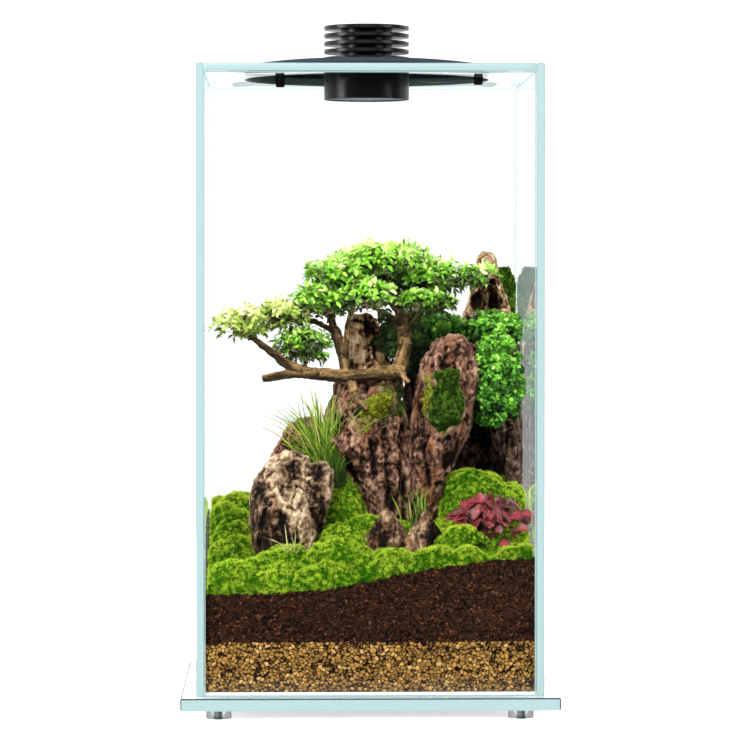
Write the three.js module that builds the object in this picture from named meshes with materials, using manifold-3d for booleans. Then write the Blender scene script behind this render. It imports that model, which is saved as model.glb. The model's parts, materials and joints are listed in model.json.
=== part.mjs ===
// Planted glass terrarium with a lift-out lamp. Millimetres, +Z up, +X right, +Y to the back,
// origin on the floor under the middle of the base plate.
import * as THREE from 'three';
import { mergeVertices } from 'three/addons/utils/BufferGeometryUtils.js';
import Module from 'manifold-3d';

const wasm = await Module();
wasm.setup();

// ---------------------------------------------------------------- driving dimensions

const CLEAR = 0.3; // gap that touching pieces keep

const TANK_SIDE = 220;
const TANK_HEIGHT = 400;
const GLASS = 5;
const BASE_SIDE = 240;
const BASE_THICK = 8;

const FOOT_RADIUS = 8;
const FOOT_HEIGHT = 7;
const FOOT_OFFSET = 96;
const FOOT_SIDES = 12;
const FOOT_EDGE = 0.6; // bevel under each foot

const HOLE_RADIUS = 80;
const HOLE_SIDES = 24;
const BEAD = 2;

const LAMP_RADIUS = 28;
const LAMP_SIDES = 16;
const LAMP_BOTTOM = 397;
const LAMP_WALL = 1.6;
const LENS_THICK = 2.5;
const LENS_DEPTH = 0.8; // how far the lens lies inside the lamp's mouth
const FIN_COUNT = 4;
const FIN_THICK = 3.1;
const FIN_PITCH = 5.15;
const FIN_CORE = 17;
const FLANGE_THICK = 1.5;
const SAUCER_RADIUS = 92.5;
const SAUCER_RISE = 6.2;
const SAUCER_FLAT = 30;
const SAUCER_THICK = 1.5;
const SAUCER_SIDES = 24;
const PEG_RADIUS = 3;
const PEG_RING = 76.5;
const PEG_BOTTOM = 408;
const PEG_ANGLES = [13, 138, 258];
const PEG_SIDES = 8;
const PEG_ROOT = 3; // how far each peg runs up into the saucer

const GRAVEL_DEPTH = 34;
const SOIL_FRONT_LEFT = 78;
const SOIL_FRONT_RIGHT = 100;
const SOIL_RISE = 42;
const BED_CELLS = 8;

// Room kept around the stones, moss and leaf cores when the next piece is cut to fit them.
const STONE_ROOM = 0.45;
const MOSS_ROOM = 0.4;
const CORE_ROOM = 0.6;
const LEAF_ROOM = 0.4;
const WALL_ROOM = 0.5;
const TRIES = 12; // how often a leaf or blade that would cross a neighbour is drawn again

const LEAF = { length: 13.5, width: 7.6, thick: 0.8, curl: 0.1, droop: 0.16, sunk: 2.5 };
const FROND = { length: 13, width: 10, thick: 0.8, curl: 0.12, droop: 0.3, sunk: 2.5 };
const RED_LEAF = { length: 15, width: 11, thick: 0.8, curl: 0.12, droop: 0.3, sunk: 2 };

// ---------------------------------------------------------------- heights and limits

const FLOOR = FOOT_HEIGHT + BASE_THICK;
const RIM = FLOOR + TANK_HEIGHT;
const LID_UNDERSIDE = RIM - GLASS;
const OUTER = TANK_SIDE / 2;
const INNER = OUTER - GLASS;
const FILL = INNER - CLEAR;
const GRAVEL_TOP = FLOOR + GRAVEL_DEPTH;
const SAUCER_RIM = RIM + CLEAR;

// ---------------------------------------------------------------- finishes

const finish = (color, roughness, metalness = 0) =>
  new THREE.MeshStandardMaterial({ color, roughness, metalness, flatShading: true });
const GLASS_FINISH = new THREE.MeshStandardMaterial({
  color: 0xccebec, roughness: 0.05, transparent: true, opacity: 0.25,
});
const SILICONE = finish(0xeef2f2, 0.3);
const METAL = finish(0xb9bebe, 0.15, 1);
const BLACK_METAL = finish(0x0a090e, 0.3, 0.3);
const LENS = finish(0x5f6e7a, 0.15);
const GRAVEL = finish(0x805c2c, 0.8);
const SOIL = finish(0x361f12, 0.9);
const GREY_STONE = finish(0x886a4b, 0.85);
const RED_STONE = finish(0x6d4a3c, 0.85);
const PALE_STONE = finish(0x9c8665, 0.85);
const BARK = finish(0xa28653, 0.75);
const LEAF_GREEN = finish(0x76a32c, 0.45);
const YOUNG_GREEN = finish(0x90b04b, 0.45);
const CREEPER_GREEN = finish(0x3f6d24, 0.5);
const DARK_GREEN = finish(0x24401a, 0.6);
const MOSS_GREEN = finish(0x79a628, 0.9);
const DARK_MOSS = finish(0x2c3b16, 0.9);
const YELLOW_MOSS = finish(0x8a8a20, 0.9);
const GRASS_GREEN = finish(0x6f8f2a, 0.5);
const PALE_GRASS = finish(0xa5a05a, 0.6);
const RED_LEAVES = finish(0x903235, 0.4);

// ---------------------------------------------------------------- small helpers

const vec = (x, y, z) => new THREE.Vector3(x, y, z);
const lerp = THREE.MathUtils.lerp;
const smooth = THREE.MathUtils.smoothstep;
const radians = THREE.MathUtils.degToRad;
const signedPower = (value, power) => Math.sign(value) * Math.abs(value) ** power;

function seeded(seed) {
  let state = seed >>> 0;
  return () => {
    state = (state + 0x6d2b79f5) >>> 0;
    let t = Math.imul(state ^ (state >>> 15), 1 | state);
    t = (t + Math.imul(t ^ (t >>> 7), 61 | t)) ^ t;
    return ((t ^ (t >>> 14)) >>> 0) / 4294967296;
  };
}

function geometryFrom(points, faces) {
  const geometry = new THREE.BufferGeometry();
  geometry.setAttribute('position', new THREE.Float32BufferAttribute(points.flatMap((p) => p.toArray()), 3));
  geometry.setIndex(faces);
  return geometry;
}

function toSolid(geometry) {
  const bare = geometry.clone();
  bare.deleteAttribute('normal');
  bare.deleteAttribute('uv');
  const merged = mergeVertices(bare, 1e-4);
  return new wasm.Manifold(new wasm.Mesh({
    numProp: 3,
    vertProperties: new Float32Array(merged.attributes.position.array),
    triVerts: new Uint32Array(merged.index.array),
  }));
}

function toGeometry(solid) {
  const mesh = solid.getMesh();
  const geometry = new THREE.BufferGeometry();
  geometry.setAttribute('position', new THREE.BufferAttribute(mesh.vertProperties, 3));
  geometry.setIndex(new THREE.BufferAttribute(mesh.triVerts, 1));
  return geometry;
}

const join = (solids) => solids.reduce((whole, next) => whole.add(next));

function largestPiece(solid) {
  const pieces = solid.decompose();
  return pieces.reduce((best, next) => (next.volume() > best.volume() ? next : best));
}

const terrarium = new THREE.Group();

function place(name, geometry, material) {
  const mesh = new THREE.Mesh(geometry, material);
  mesh.name = name;
  terrarium.add(mesh);
  return mesh;
}

const placeSolid = (name, solid, material) => place(name, toGeometry(largestPiece(solid)), material);

// ---------------------------------------------------------------- shape builders

function box(x0, x1, y0, y1, z0, z1) {
  const geometry = new THREE.BoxGeometry(x1 - x0, y1 - y0, z1 - z0);
  return geometry.translate((x0 + x1) / 2, (y0 + y1) / 2, (z0 + z1) / 2);
}

function turned(profile, sides) {
  const geometry = new THREE.LatheGeometry(profile.map(([r, z]) => new THREE.Vector2(r, z)), sides);
  return geometry.rotateX(Math.PI / 2);
}

// Closed skin over rings of equally many points, its two ends closed by fans.
function loft(rings) {
  const count = rings[0].length;
  const points = rings.flat();
  const faces = [];
  for (let r = 0; r < rings.length - 1; r += 1) {
    for (let i = 0; i < count; i += 1) {
      const a = r * count + i;
      const b = r * count + ((i + 1) % count);
      faces.push(a, b, b + count, a, b + count, a + count);
    }
  }
  const last = (rings.length - 1) * count;
  for (let i = 1; i < count - 1; i += 1) {
    faces.push(0, i + 1, i, last, last + i, last + i + 1);
  }
  return geometryFrom(points, faces);
}

// Round limb along a path of [x, y, z, radius] stations.
function limb(stations, sides, grow = 0) {
  const path = stations.map(([x, y, z]) => vec(x, y, z));
  let across = vec(0.3, 1, 0.2);
  const rings = path.map((point, k) => {
    const ahead = path[Math.min(k + 1, path.length - 1)];
    const behind = path[Math.max(k - 1, 0)];
    const along = ahead.clone().sub(behind).normalize();
    across = across.clone().addScaledVector(along, -across.dot(along)).normalize();
    const over = along.clone().cross(across);
    const centre = point.clone();
    if (k === 0) centre.addScaledVector(along, -grow);
    if (k === path.length - 1) centre.addScaledVector(along, grow);
    return Array.from({ length: sides }, (_, i) => {
      const angle = (2 * Math.PI * i) / sides;
      const radius = stations[k][3] + grow * 1.2;
      return centre.clone()
        .addScaledVector(across, radius * Math.cos(angle))
        .addScaledVector(over, radius * Math.sin(angle));
    });
  });
  return toSolid(loft(rings));
}

// Rough stone through levels of [height, left, right, front, back].
function stone(seed, levels, { sides = 9, grow = 0, rough = 0.2 } = {}) {
  const random = seeded(seed);
  const middle = (levels[0][0] + levels[levels.length - 1][0]) / 2;
  const rings = levels.map(([height, left, right, front, back]) => {
    const z = height + (height > middle ? grow : -grow);
    return Array.from({ length: sides }, (_, i) => {
      const angle = (2 * Math.PI * i) / sides;
      const uneven = 1 + rough * (random() - 0.7);
      const halfX = (right - left) / 2;
      const halfY = (back - front) / 2;
      const x = (left + right) / 2 + (halfX * uneven + grow) * signedPower(Math.cos(angle), 0.75);
      const y = (front + back) / 2 + (halfY * uneven + grow) * signedPower(Math.sin(angle), 0.75);
      return vec(x, y, z);
    });
  });
  return toSolid(loft(rings));
}

// Knobbly mound or core: an ellipsoid whose surface is raised and sunk by waves.
function mound([x, y, z], [rx, ry, rz], { detail = 2, knobs = 0.06, waves = 7, grow = 0 } = {}) {
  const geometry = new THREE.IcosahedronGeometry(1, detail);
  const position = geometry.attributes.position;
  for (let i = 0; i < position.count; i += 1) {
    const p = vec(position.getX(i), position.getY(i), position.getZ(i)).normalize();
    const wave = Math.sin(waves * p.x + x) * Math.sin(waves * p.y + y) + Math.sin(waves * p.z + 0.5 * x);
    const swell = 1 + knobs * wave;
    const reach = vec(rx * swell + grow, ry * swell + grow, rz * swell + grow);
    position.setXYZ(i, x + p.x * reach.x, y + p.y * reach.y, z + p.z * reach.z);
  }
  return toSolid(geometry);
}

// Curled, drooping leaf of even thickness, its point of growth sunk into what carries it.
// grow makes the thicker body that tests whether the leaf is clear of its neighbours.
function leaf({ root, along, face }, size, grow = 0) {
  const side = face.clone().cross(along).normalize();
  const normal = along.clone().cross(side).normalize();
  const half = size.width / 2 + grow;
  const outline = [[0, 0], [0.52, -1], [0.96, -0.38], [0.96, 0.38], [0.52, 1]];
  const top = outline.map(([t, s]) => root.clone()
    .addScaledVector(along, t * (size.length + grow))
    .addScaledVector(side, s * half)
    .addScaledVector(normal, size.curl * size.length * Math.sin(Math.PI * t) + grow)
    .addScaledVector(vec(0, 0, -1), size.droop * size.length * t * t));
  const bottom = top.map((p) => p.clone().addScaledVector(normal, -size.thick - 2 * grow));
  const count = outline.length;
  const faces = [];
  for (const [a, b, c] of [[0, 1, 4], [1, 3, 4], [1, 2, 3]]) {
    faces.push(a, b, c, count + a, count + c, count + b);
  }
  for (let i = 0; i < count; i += 1) {
    const j = (i + 1) % count;
    faces.push(count + i, count + j, j, count + i, j, i);
  }
  return toSolid(geometryFrom([...top, ...bottom], faces));
}

// Bed with a level or wavy top and bottom, square in plan.
function bed(top, bottom, cells = BED_CELLS) {
  const across = cells + 1;
  const at = (i) => lerp(-FILL, FILL, i / cells);
  const points = [];
  for (const height of [bottom, top]) {
    for (let j = 0; j < across; j += 1) {
      for (let i = 0; i < across; i += 1) points.push(vec(at(i), at(j), height(at(i), at(j))));
    }
  }
  const layer = across * across;
  const faces = [];
  const quad = (a, b, c, d) => faces.push(a, b, c, a, c, d);
  for (let j = 0; j < cells; j += 1) {
    for (let i = 0; i < cells; i += 1) {
      const a = j * across + i;
      quad(layer + a, layer + a + 1, layer + a + across + 1, layer + a + across);
      faces.push(a, a + across + 1, a + 1, a, a + across, a + across + 1);
    }
    const front = j;
    quad(front, front + 1, layer + front + 1, layer + front);
    const back = cells * across + j;
    quad(back + 1, back, layer + back, layer + back + 1);
    const left = j * across;
    quad(left + across, left, layer + left, layer + left + across);
    const right = left + cells;
    quad(right, right + across, layer + right + across, layer + right);
  }
  return toSolid(geometryFrom(points, faces));
}

// ---------------------------------------------------------------- glass case

const FEET = [
  ['front_left', -1, -1],
  ['front_right', 1, -1],
  ['back_left', -1, 1],
  ['back_right', 1, 1],
];

function buildCase() {
  const edge = BASE_SIDE / 2;
  place('base_plate', box(-edge, edge, -edge, edge, FOOT_HEIGHT, FLOOR), GLASS_FINISH);
  const footTop = FOOT_HEIGHT - CLEAR;
  for (const [name, sx, sy] of FEET) {
    const foot = turned([
      [0, 0], [FOOT_RADIUS - FOOT_EDGE, 0], [FOOT_RADIUS, FOOT_EDGE],
      [FOOT_RADIUS, footTop], [0, footTop],
    ], FOOT_SIDES);
    place(`foot_${name}`, foot, METAL).position.set(sx * FOOT_OFFSET, sy * FOOT_OFFSET, 0);
  }
  const bottom = FLOOR + CLEAR;
  place('panel_left', box(-OUTER, -INNER, -OUTER, OUTER, bottom, RIM), GLASS_FINISH);
  place('panel_right', box(INNER, OUTER, -OUTER, OUTER, bottom, RIM), GLASS_FINISH);
  place('panel_front', box(-FILL, FILL, -OUTER, -INNER, bottom, LID_UNDERSIDE - CLEAR), GLASS_FINISH);
  place('panel_back', box(-FILL, FILL, INNER, OUTER, bottom, LID_UNDERSIDE - CLEAR), GLASS_FINISH);
  place('lid', lidPlate(), GLASS_FINISH);
  place('silicone_bead', toGeometry(beadRing(0)), SILICONE);
}

function lidPlate() {
  const plate = new THREE.Shape();
  plate.moveTo(-FILL, -OUTER).lineTo(FILL, -OUTER).lineTo(FILL, OUTER).lineTo(-FILL, OUTER).closePath();
  plate.holes.push(new THREE.Path().absarc(0, 0, HOLE_RADIUS, 0, 2 * Math.PI, true));
  const options = { depth: GLASS, bevelEnabled: false, curveSegments: HOLE_SIDES };
  const geometry = new THREE.ExtrudeGeometry(plate, options);
  return geometry.translate(0, 0, LID_UNDERSIDE);
}

// Square bead along the foot of the panels; grow makes the room it needs in the gravel.
function beadRing(grow) {
  const bottom = FLOOR + CLEAR - grow;
  const top = FLOOR + CLEAR + BEAD + grow;
  const outside = FILL + grow;
  const inside = FILL - BEAD - grow;
  const ring = toSolid(box(-outside, outside, -outside, outside, bottom, top));
  return ring.subtract(toSolid(box(-inside, inside, -inside, inside, bottom - 1, top + 1)));
}

// ---------------------------------------------------------------- lamp

const SAUCER_TOP = SAUCER_RIM + SAUCER_THICK + SAUCER_RISE;
const SAUCER_RINGS = [SAUCER_RADIUS, 75, 53, SAUCER_FLAT, 0];

function saucerFall(r) {
  const share = Math.max(r - SAUCER_FLAT, 0) / (SAUCER_RADIUS - SAUCER_FLAT);
  return SAUCER_RISE * share ** 2;
}

function buildLamp() {
  const seat = SAUCER_TOP + CLEAR;
  const flangeTop = seat + FLANGE_THICK;
  const fins = [[0, seat], [LAMP_RADIUS, seat], [LAMP_RADIUS, flangeTop], [FIN_CORE, flangeTop]];
  for (let i = 0; i < FIN_COUNT; i += 1) {
    const over = flangeTop + FIN_PITCH * (i + 1);
    const under = over - FIN_THICK;
    fins.push([FIN_CORE, under], [LAMP_RADIUS, under], [LAMP_RADIUS, over]);
    fins.push([i < FIN_COUNT - 1 ? FIN_CORE : 0, over]);
  }
  place('lamp_heat_sink', turned(fins, LAMP_SIDES), BLACK_METAL);

  const bodyTop = SAUCER_TOP - SAUCER_THICK - CLEAR;
  const lensBottom = LAMP_BOTTOM + LENS_DEPTH;
  const lensTop = lensBottom + LENS_THICK;
  const mouth = LAMP_RADIUS - LAMP_WALL;
  const lensRadius = mouth - CLEAR;
  place('lamp_body', turned([
    [mouth, LAMP_BOTTOM], [LAMP_RADIUS, LAMP_BOTTOM], [LAMP_RADIUS, bodyTop], [0, bodyTop],
    [0, lensTop], [mouth, lensTop], [mouth, LAMP_BOTTOM],
  ], LAMP_SIDES), BLACK_METAL);
  place('lamp_lens', turned([
    [0, lensBottom], [lensRadius, lensBottom], [lensRadius, lensTop - CLEAR], [0, lensTop - CLEAR],
  ], LAMP_SIDES), LENS);

  const over = SAUCER_RINGS.map((r) => [r, SAUCER_TOP - saucerFall(r)]);
  const under = [...over].reverse().map(([r, z]) => [r, z - SAUCER_THICK]);
  const dome = toSolid(turned([...under, ...over], SAUCER_SIDES));
  const pegs = PEG_ANGLES.map((degrees) => {
    const x = PEG_RING * Math.cos(radians(degrees));
    const y = PEG_RING * Math.sin(radians(degrees));
    return limb([[x, y, PEG_BOTTOM, PEG_RADIUS], [x, y, SAUCER_RIM + PEG_ROOT, PEG_RADIUS]], PEG_SIDES);
  });
  place('lamp_saucer', toGeometry(join([dome, ...pegs])), BLACK_METAL);
}

// ---------------------------------------------------------------- gravel and soil

const gravelTop = (x, y) => GRAVEL_TOP + 1.6 * Math.sin(x / 19 + 1) * Math.cos(y / 27);

function soilTop(x, y) {
  const front = lerp(SOIL_FRONT_LEFT, SOIL_FRONT_RIGHT, smooth(x, -70, 100));
  return front + SOIL_RISE * smooth(y, -INNER, 75) + 1.2 * Math.sin(x / 13) * Math.cos(y / 17 + 1);
}

function buildBeds() {
  const gravel = bed(gravelTop, () => FLOOR + CLEAR).subtract(beadRing(CLEAR));
  placeSolid('gravel_bed', gravel, GRAVEL);
  const soil = bed(soilTop, (x, y) => gravelTop(x, y) + CLEAR);
  placeSolid('soil_bed', soil, SOIL);
}

// Everything below the soil's surface, raised by the clearance: what stands on the soil is cut by it.
const earth = bed((x, y) => soilTop(x, y) + CLEAR, () => FLOOR);
const airSpace = toSolid(box(-FILL, FILL, -FILL, FILL, FLOOR, LID_UNDERSIDE - CLEAR));

// ---------------------------------------------------------------- stones

const STONES = [
  {
    name: 'stone_centre', seed: 11, material: RED_STONE,
    levels: [
      [92, -2, 30, -26, 30], [131, -2, 30, -27, 30], [153, -13, 29, -27, 32], [172, -29, 28, -25, 34],
      [187, -29, 27, -21, 34], [200, -25, 26, -16, 34], [211, -21, 25, -12, 32], [215, -16, 22, -7, 29],
    ],
  },
  {
    name: 'stone_column', seed: 12, material: RED_STONE,
    levels: [
      [92, 22, 47, -24, 22], [132, 24, 47, -27, 22], [146, 26, 53, -29, 24], [163, 27, 62, -31, 26],
      [180, 28, 69, -31, 27], [199, 30, 73, -29, 27], [212, 34, 75, -27, 26], [226, 38, 75.5, -25, 24],
      [236, 43, 73, -20, 19], [241.5, 50, 66, -12, 12],
    ],
  },
  {
    name: 'stone_peak', seed: 13, material: PALE_STONE,
    levels: [
      [206, -14, 13, 9, 27], [222, -13, 13, 10, 28], [238, -12, 10, 11, 27], [249, -11, 7, 13, 25],
      [254, -8, 2, 16, 22],
    ],
  },
  {
    name: 'stone_ledge', seed: 14, material: RED_STONE,
    levels: [
      [100, 12, 92, 34, 54], [150, 16, 94, 33, 54], [200, 24, 95, 32, 54], [238, 30, 96, 31, 53],
    ],
  },
  {
    name: 'stone_front_left', seed: 15, material: GREY_STONE,
    levels: [
      [80, -72, -34, -60, -16], [104, -75, -35, -63, -16], [122, -79, -29, -62, -14],
      [136, -79, -25, -58, -13], [147, -74, -26, -52, -14], [157, -67, -36, -46, -17],
      [163, -60, -38, -43, -21], [167, -53, -43, -39, -26],
    ],
    lobe: [
      [118, -44, -27, -52, -15], [138, -46, -24, -52, -14], [152, -42, -22, -46, -15],
      [159, -38, -26, -40, -19],
    ],
  },
  {
    name: 'stone_left_slope', seed: 16, material: RED_STONE,
    levels: [
      [100, -86, -10, 2, 50], [126, -79, -10, 2, 48], [149, -69, -12, 4, 44], [169, -60, -18, 6, 40],
      [182, -51, -26, 10, 34], [186, -45, -33, 15, 28],
    ],
  },
  {
    name: 'stone_spire', seed: 17, material: PALE_STONE,
    levels: [
      [118, 60, 101, 56, 88], [245, 64, 102, 56, 88], [254, 66, 101, 58, 86], [265, 69, 99, 60, 84],
      [275, 71.5, 96, 62, 82], [285, 74.4, 92, 64, 80], [294, 76.5, 90, 66, 78], [298, 80, 87, 69, 75],
    ],
  },
  {
    name: 'stone_right', seed: 18, material: RED_STONE,
    levels: [
      [110, 92, 104.5, 28, 54], [140, 95, 104.5, 14, 54], [152, 92, 104.5, 7, 54], [165, 86, 104.5, 5, 54],
      [180, 81, 104.5, 5, 54], [215, 80, 104.5, 8, 54], [236, 82, 104.5, 14, 54],
    ],
  },
  {
    name: 'small_stone_left', seed: 19, material: GREY_STONE,
    levels: [
      [92, -2, 22, -74, -54], [112, -3, 24, -75, -52], [121, 0, 24, -72, -54], [130, 6, 19, -67, -58],
    ],
  },
  {
    name: 'small_stone_right', seed: 20, material: GREY_STONE,
    levels: [
      [92, 24, 45, -80, -57], [110, 22, 47, -81, -56], [119, 25, 45, -76, -58], [128, 31, 40, -70, -62],
    ],
  },
];

const SPIRE_HOLLOW = [
  [238, 74, 97, 40, 76], [256, 77, 95, 40, 75], [270, 81, 91, 40, 74], [280, 84, 88, 40, 72],
];

// ---------------------------------------------------------------- tree wood

// Limbs of the tree as stations of [x, y, z, radius].
const WOOD = [
  // level branch, from the right trunk to its cut end on the left
  [
    [24, -11, 217, 4.6], [8, -14, 217.5, 4.5], [-12, -15, 215.5, 4.2],
    [-31, -15, 217, 4], [-50, -15, 217, 3], [-68.5, -15, 213.5, 2.3],
  ],
  // rising branch to the far left crown
  [
    [-36, -15, 217, 3.6], [-50, -15, 222, 3.3], [-60, -16, 229, 2.8],
    [-69, -17, 236, 2.2], [-79, -19, 243, 1.5],
  ],
  // left trunk and the thin one beside it
  [
    [-13, -14, 214, 3.6], [-16, -11, 229, 3.3], [-19, -9, 240, 3.4],
    [-23, -7, 252, 2.6], [-21, -5, 266, 1.9], [-18, -4, 278, 1.3],
  ],
  [[-14, -12, 228, 1.7], [-13, -9, 245, 1.7], [-9, -6, 262, 1.4], [0, -2, 280, 1.1]],
  // right trunk and its long branch to the right
  [
    [15, -8, 213, 4.4], [22, -5, 222, 4.6], [25, -3, 236, 4.3], [24, -1, 249, 3.8],
    [20, 0, 262, 2.8], [14, 0, 275, 2], [12, 1, 284, 1.2],
  ],
  [[24, -1, 248, 2.8], [34, 2, 263, 2.2], [44, 4, 272, 1.7], [58, 5, 278, 1.2], [70, 5, 280, 0.9]],
  // roots that hang over the stone
  [[-11, -15, 214, 3], [-8.6, -18, 205, 2.6], [-5, -21, 199, 2.2], [0, -22, 193, 1.9]],
  [[17, -13, 220, 1.8], [23, -16, 216, 1.6], [27, -19, 211, 1.4]],
  // side twigs, each to one pad of leaves
  [[-20, -8, 243, 1.8], [-31, -10, 250, 1.4], [-42, -12, 252, 1.1], [-52, -14, 252, 0.9]],
  [[-40, -14, 219, 1.5], [-42, -12, 229, 1]],
  [[22, -4, 250, 1.8], [10, -14, 257, 1.4], [0, -19, 263, 1]],
  [[25, -3, 243, 1.8], [32, -7, 252, 1.4], [37, -9, 258, 1]],
  [[-22, -7, 250, 1.6], [-28, -8, 258, 1.1]],
  [[20, 0, 258, 1.8], [14, 14, 266, 1.3], [8, 22, 270, 1]],
];
const WOOD_SIDES = 5;

// ---------------------------------------------------------------- foliage

// Pads of leaves: core centre, core radii, number of leaves.
const PADS = [
  { name: 'leaf_pad_top', at: [12, 2, 290], size: [22, 17, 7.5], leaves: 32, material: LEAF_GREEN },
  { name: 'leaf_pad_top_left', at: [-20, -3, 281], size: [13, 13, 7], leaves: 19, material: LEAF_GREEN },
  { name: 'leaf_pad_right', at: [46, 4, 278], size: [16, 14, 6.5], leaves: 21, material: LEAF_GREEN },
  { name: 'leaf_pad_right_tip', at: [72, 5, 280], size: [8, 8, 5], leaves: 10, material: LEAF_GREEN },
  { name: 'leaf_pad_left', at: [-30, -9, 262], size: [12, 11, 6.5], leaves: 16, material: LEAF_GREEN },
  { name: 'leaf_pad_front', at: [0, -21, 267], size: [14, 9, 6.5], leaves: 18, material: LEAF_GREEN },
  { name: 'leaf_pad_right_low', at: [37, -10, 261], size: [12, 10, 5], leaves: 13, material: LEAF_GREEN },
  { name: 'leaf_pad_back', at: [6, 26, 272], size: [20, 10, 7.5], leaves: 17, material: LEAF_GREEN },
  {
    name: 'leaf_pad_outer_left', at: [-54, -14, 253], size: [11, 10, 6.5], leaves: 15,
    material: YOUNG_GREEN,
  },
  { name: 'leaf_pad_far_left', at: [-80, -19, 247], size: [13, 11, 6], leaves: 19, material: YOUNG_GREEN },
  { name: 'leaf_pad_low', at: [-42, -11, 233], size: [8, 8, 6], leaves: 11, material: LEAF_GREEN },
];

const BUSHES = [
  { name: 'creeper_ledge_left', at: [46, 37, 245], size: [20, 12, 8], leaves: 15, material: CREEPER_GREEN },
  { name: 'creeper_ledge_right', at: [82, 29, 245], size: [19, 15, 8], leaves: 15, material: CREEPER_GREEN },
  { name: 'creeper_hanging', at: [91, 1, 209], size: [12, 10, 32], leaves: 22, material: CREEPER_GREEN },
  { name: 'dark_tuft', at: [24, 20, 226], size: [9, 7, 11], leaves: 8, material: DARK_GREEN },
];
const CORE = { detail: 0, knobs: 0.03 };
const CORE_FACE = 0.84; // how far out the core's flat faces lie

// ---------------------------------------------------------------- moss

// Hills of the moss carpet: [x, y, radius, height over the carpet].
const HILLS = [
  [-84, -92, 26, 4], [-46, -95, 24, 5], [-13, -68, 25, 11], [22, -94, 26, 4], [92, -92, 20, 4],
  [-8, -40, 24, 19], [-22, -13, 20, 33], [90, -48, 22, 4], [-92, -46, 20, 8], [-62, 72, 40, 5],
  [10, 84, 40, 6],
];
const CARPET_DEPTH = 9;
const CARPET_CELLS = 13;

function carpetTop(x, y) {
  const rises = HILLS.map(([hx, hy, radius, height]) => {
    const near = 1 - ((x - hx) ** 2 + (y - hy) ** 2) / radius ** 2;
    return height * Math.max(near, 0) ** 0.7;
  });
  const knobs = 1.2 * Math.sin(x / 7.3) * Math.sin(y / 8.1 + 1);
  return soilTop(x, y) + CARPET_DEPTH + Math.max(...rises) + knobs;
}

// Rounder mounds: the loose cushion is a plant of its own, the others grow in the carpet.
const CUSHION = [[60, -74, 98], [23, 18, 22]];
const CARPET_MOUNDS = [
  [[-91, 14, 104], [19, 42, 27]],
  [[68, -10, 126], [27, 24, 30]],
  [[94, -12, 120], [15, 22, 24]],
];
const KNOBBLY = { detail: 2, knobs: 0.035, waves: 11 };
const CARPET_KNOBBLY = { ...KNOBBLY, detail: 1 };
const PATCHY = { detail: 1, knobs: 0.05, waves: 9 };

// Tall stone slab in the back right corner, grown over with dark moss.
const MOSSED_SLAB = [[93, 96, 200], [11, 7, 92]];
const SLAB_FACE = { knobs: 0.03, waves: 9 };

const MOSS_PATCHES = [
  { name: 'moss_patch', material: DARK_MOSS, at: [52, -29, 200], size: [9, 5, 20] },
  { name: 'moss_streak', material: YELLOW_MOSS, at: [6, -19, 196], size: [13, 6, 11] },
];

// ---------------------------------------------------------------- grass and the red-leaved plant

// reach is how far the blades lean out, length their shortest and longest.
const GRASSES = [
  {
    name: 'grass_tuft', seed: 41, material: GRASS_GREEN, at: [-26, -11, 147], ball: [5, 4, 6],
    blades: 16, reach: [0.2, 0.9], length: [34, 58], radius: 0.75,
  },
  {
    name: 'small_grass', seed: 42, material: GRASS_GREEN, at: [29, -44, 113], ball: [4, 3, 8],
    blades: 6, reach: [0.1, 0.55], length: [20, 36], radius: 0.6,
  },
  {
    name: 'pale_grass', seed: 43, material: PALE_GRASS, at: [-52, -72, 96], ball: [3.5, 3, 5],
    blades: 5, reach: [0.3, 1], length: [12, 22], radius: 0.5,
  },
];

const RED_PLANT = {
  name: 'red_leaved_plant', seed: 51, material: RED_LEAVES, at: [80, -60, 116], ball: [8, 6, 12],
  leaves: 12, spread: [26, 15], lift: 22,
};

// ---------------------------------------------------------------- growing rules

// Leaf poses spread evenly over an ellipsoid core by the golden angle, jittered by the seed.
function corePose(core, k, count, size, random) {
  const golden = Math.PI * (3 - Math.sqrt(5));
  const up = lerp(0.95, -0.75, (k + random() * 0.8) / count);
  const angle = golden * k + (random() - 0.5) * 0.9;
  const flat = Math.sqrt(1 - up * up);
  const out = vec(flat * Math.cos(angle), flat * Math.sin(angle), up);
  const surface = vec(...core.size).multiplyScalar(CORE_FACE).multiply(out).add(vec(...core.at));
  const along = out.clone().multiply(vec(1, 1, 0.55)).add(vec(0, 0, 0.12 + 0.3 * random())).normalize();
  const tilt = vec((random() - 0.5) * 0.5, (random() - 0.5) * 0.5, 1.1);
  const face = out.clone().multiplyScalar(0.5).add(tilt).normalize();
  const root = surface.addScaledVector(along, -size.sunk);
  return { root, along, face };
}

function insideCase(solid) {
  const { min, max } = solid.boundingBox();
  const wall = FILL - WALL_ROOM;
  return min[0] > -wall && max[0] < wall && min[1] > -wall && max[1] < wall;
}

// Core with leaves that stand out of it; a leaf that would cross a neighbour is drawn again.
function leafyBody(core, body, size, neighbours, seed) {
  const random = seeded(seed);
  const parts = [body];
  let crowd = neighbours;
  for (let k = 0; k < core.leaves; k += 1) {
    for (let attempt = 0; attempt < TRIES; attempt += 1) {
      const scale = 0.8 + 0.35 * random();
      const own = { ...size, length: size.length * scale, width: size.width * scale };
      const pose = corePose(core, k, core.leaves, own, random);
      const test = leaf(pose, own, LEAF_ROOM);
      if (insideCase(test) && test.intersect(crowd).isEmpty()) {
        const blade = leaf(pose, own);
        parts.push(blade);
        crowd = crowd.add(blade.subtract(body));
        break;
      }
    }
  }
  return join(parts);
}

const rootBall = (plant, grow) => mound(plant.at, plant.ball, { detail: 0, grow });
const BLADE_SIDES = 3;

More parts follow.
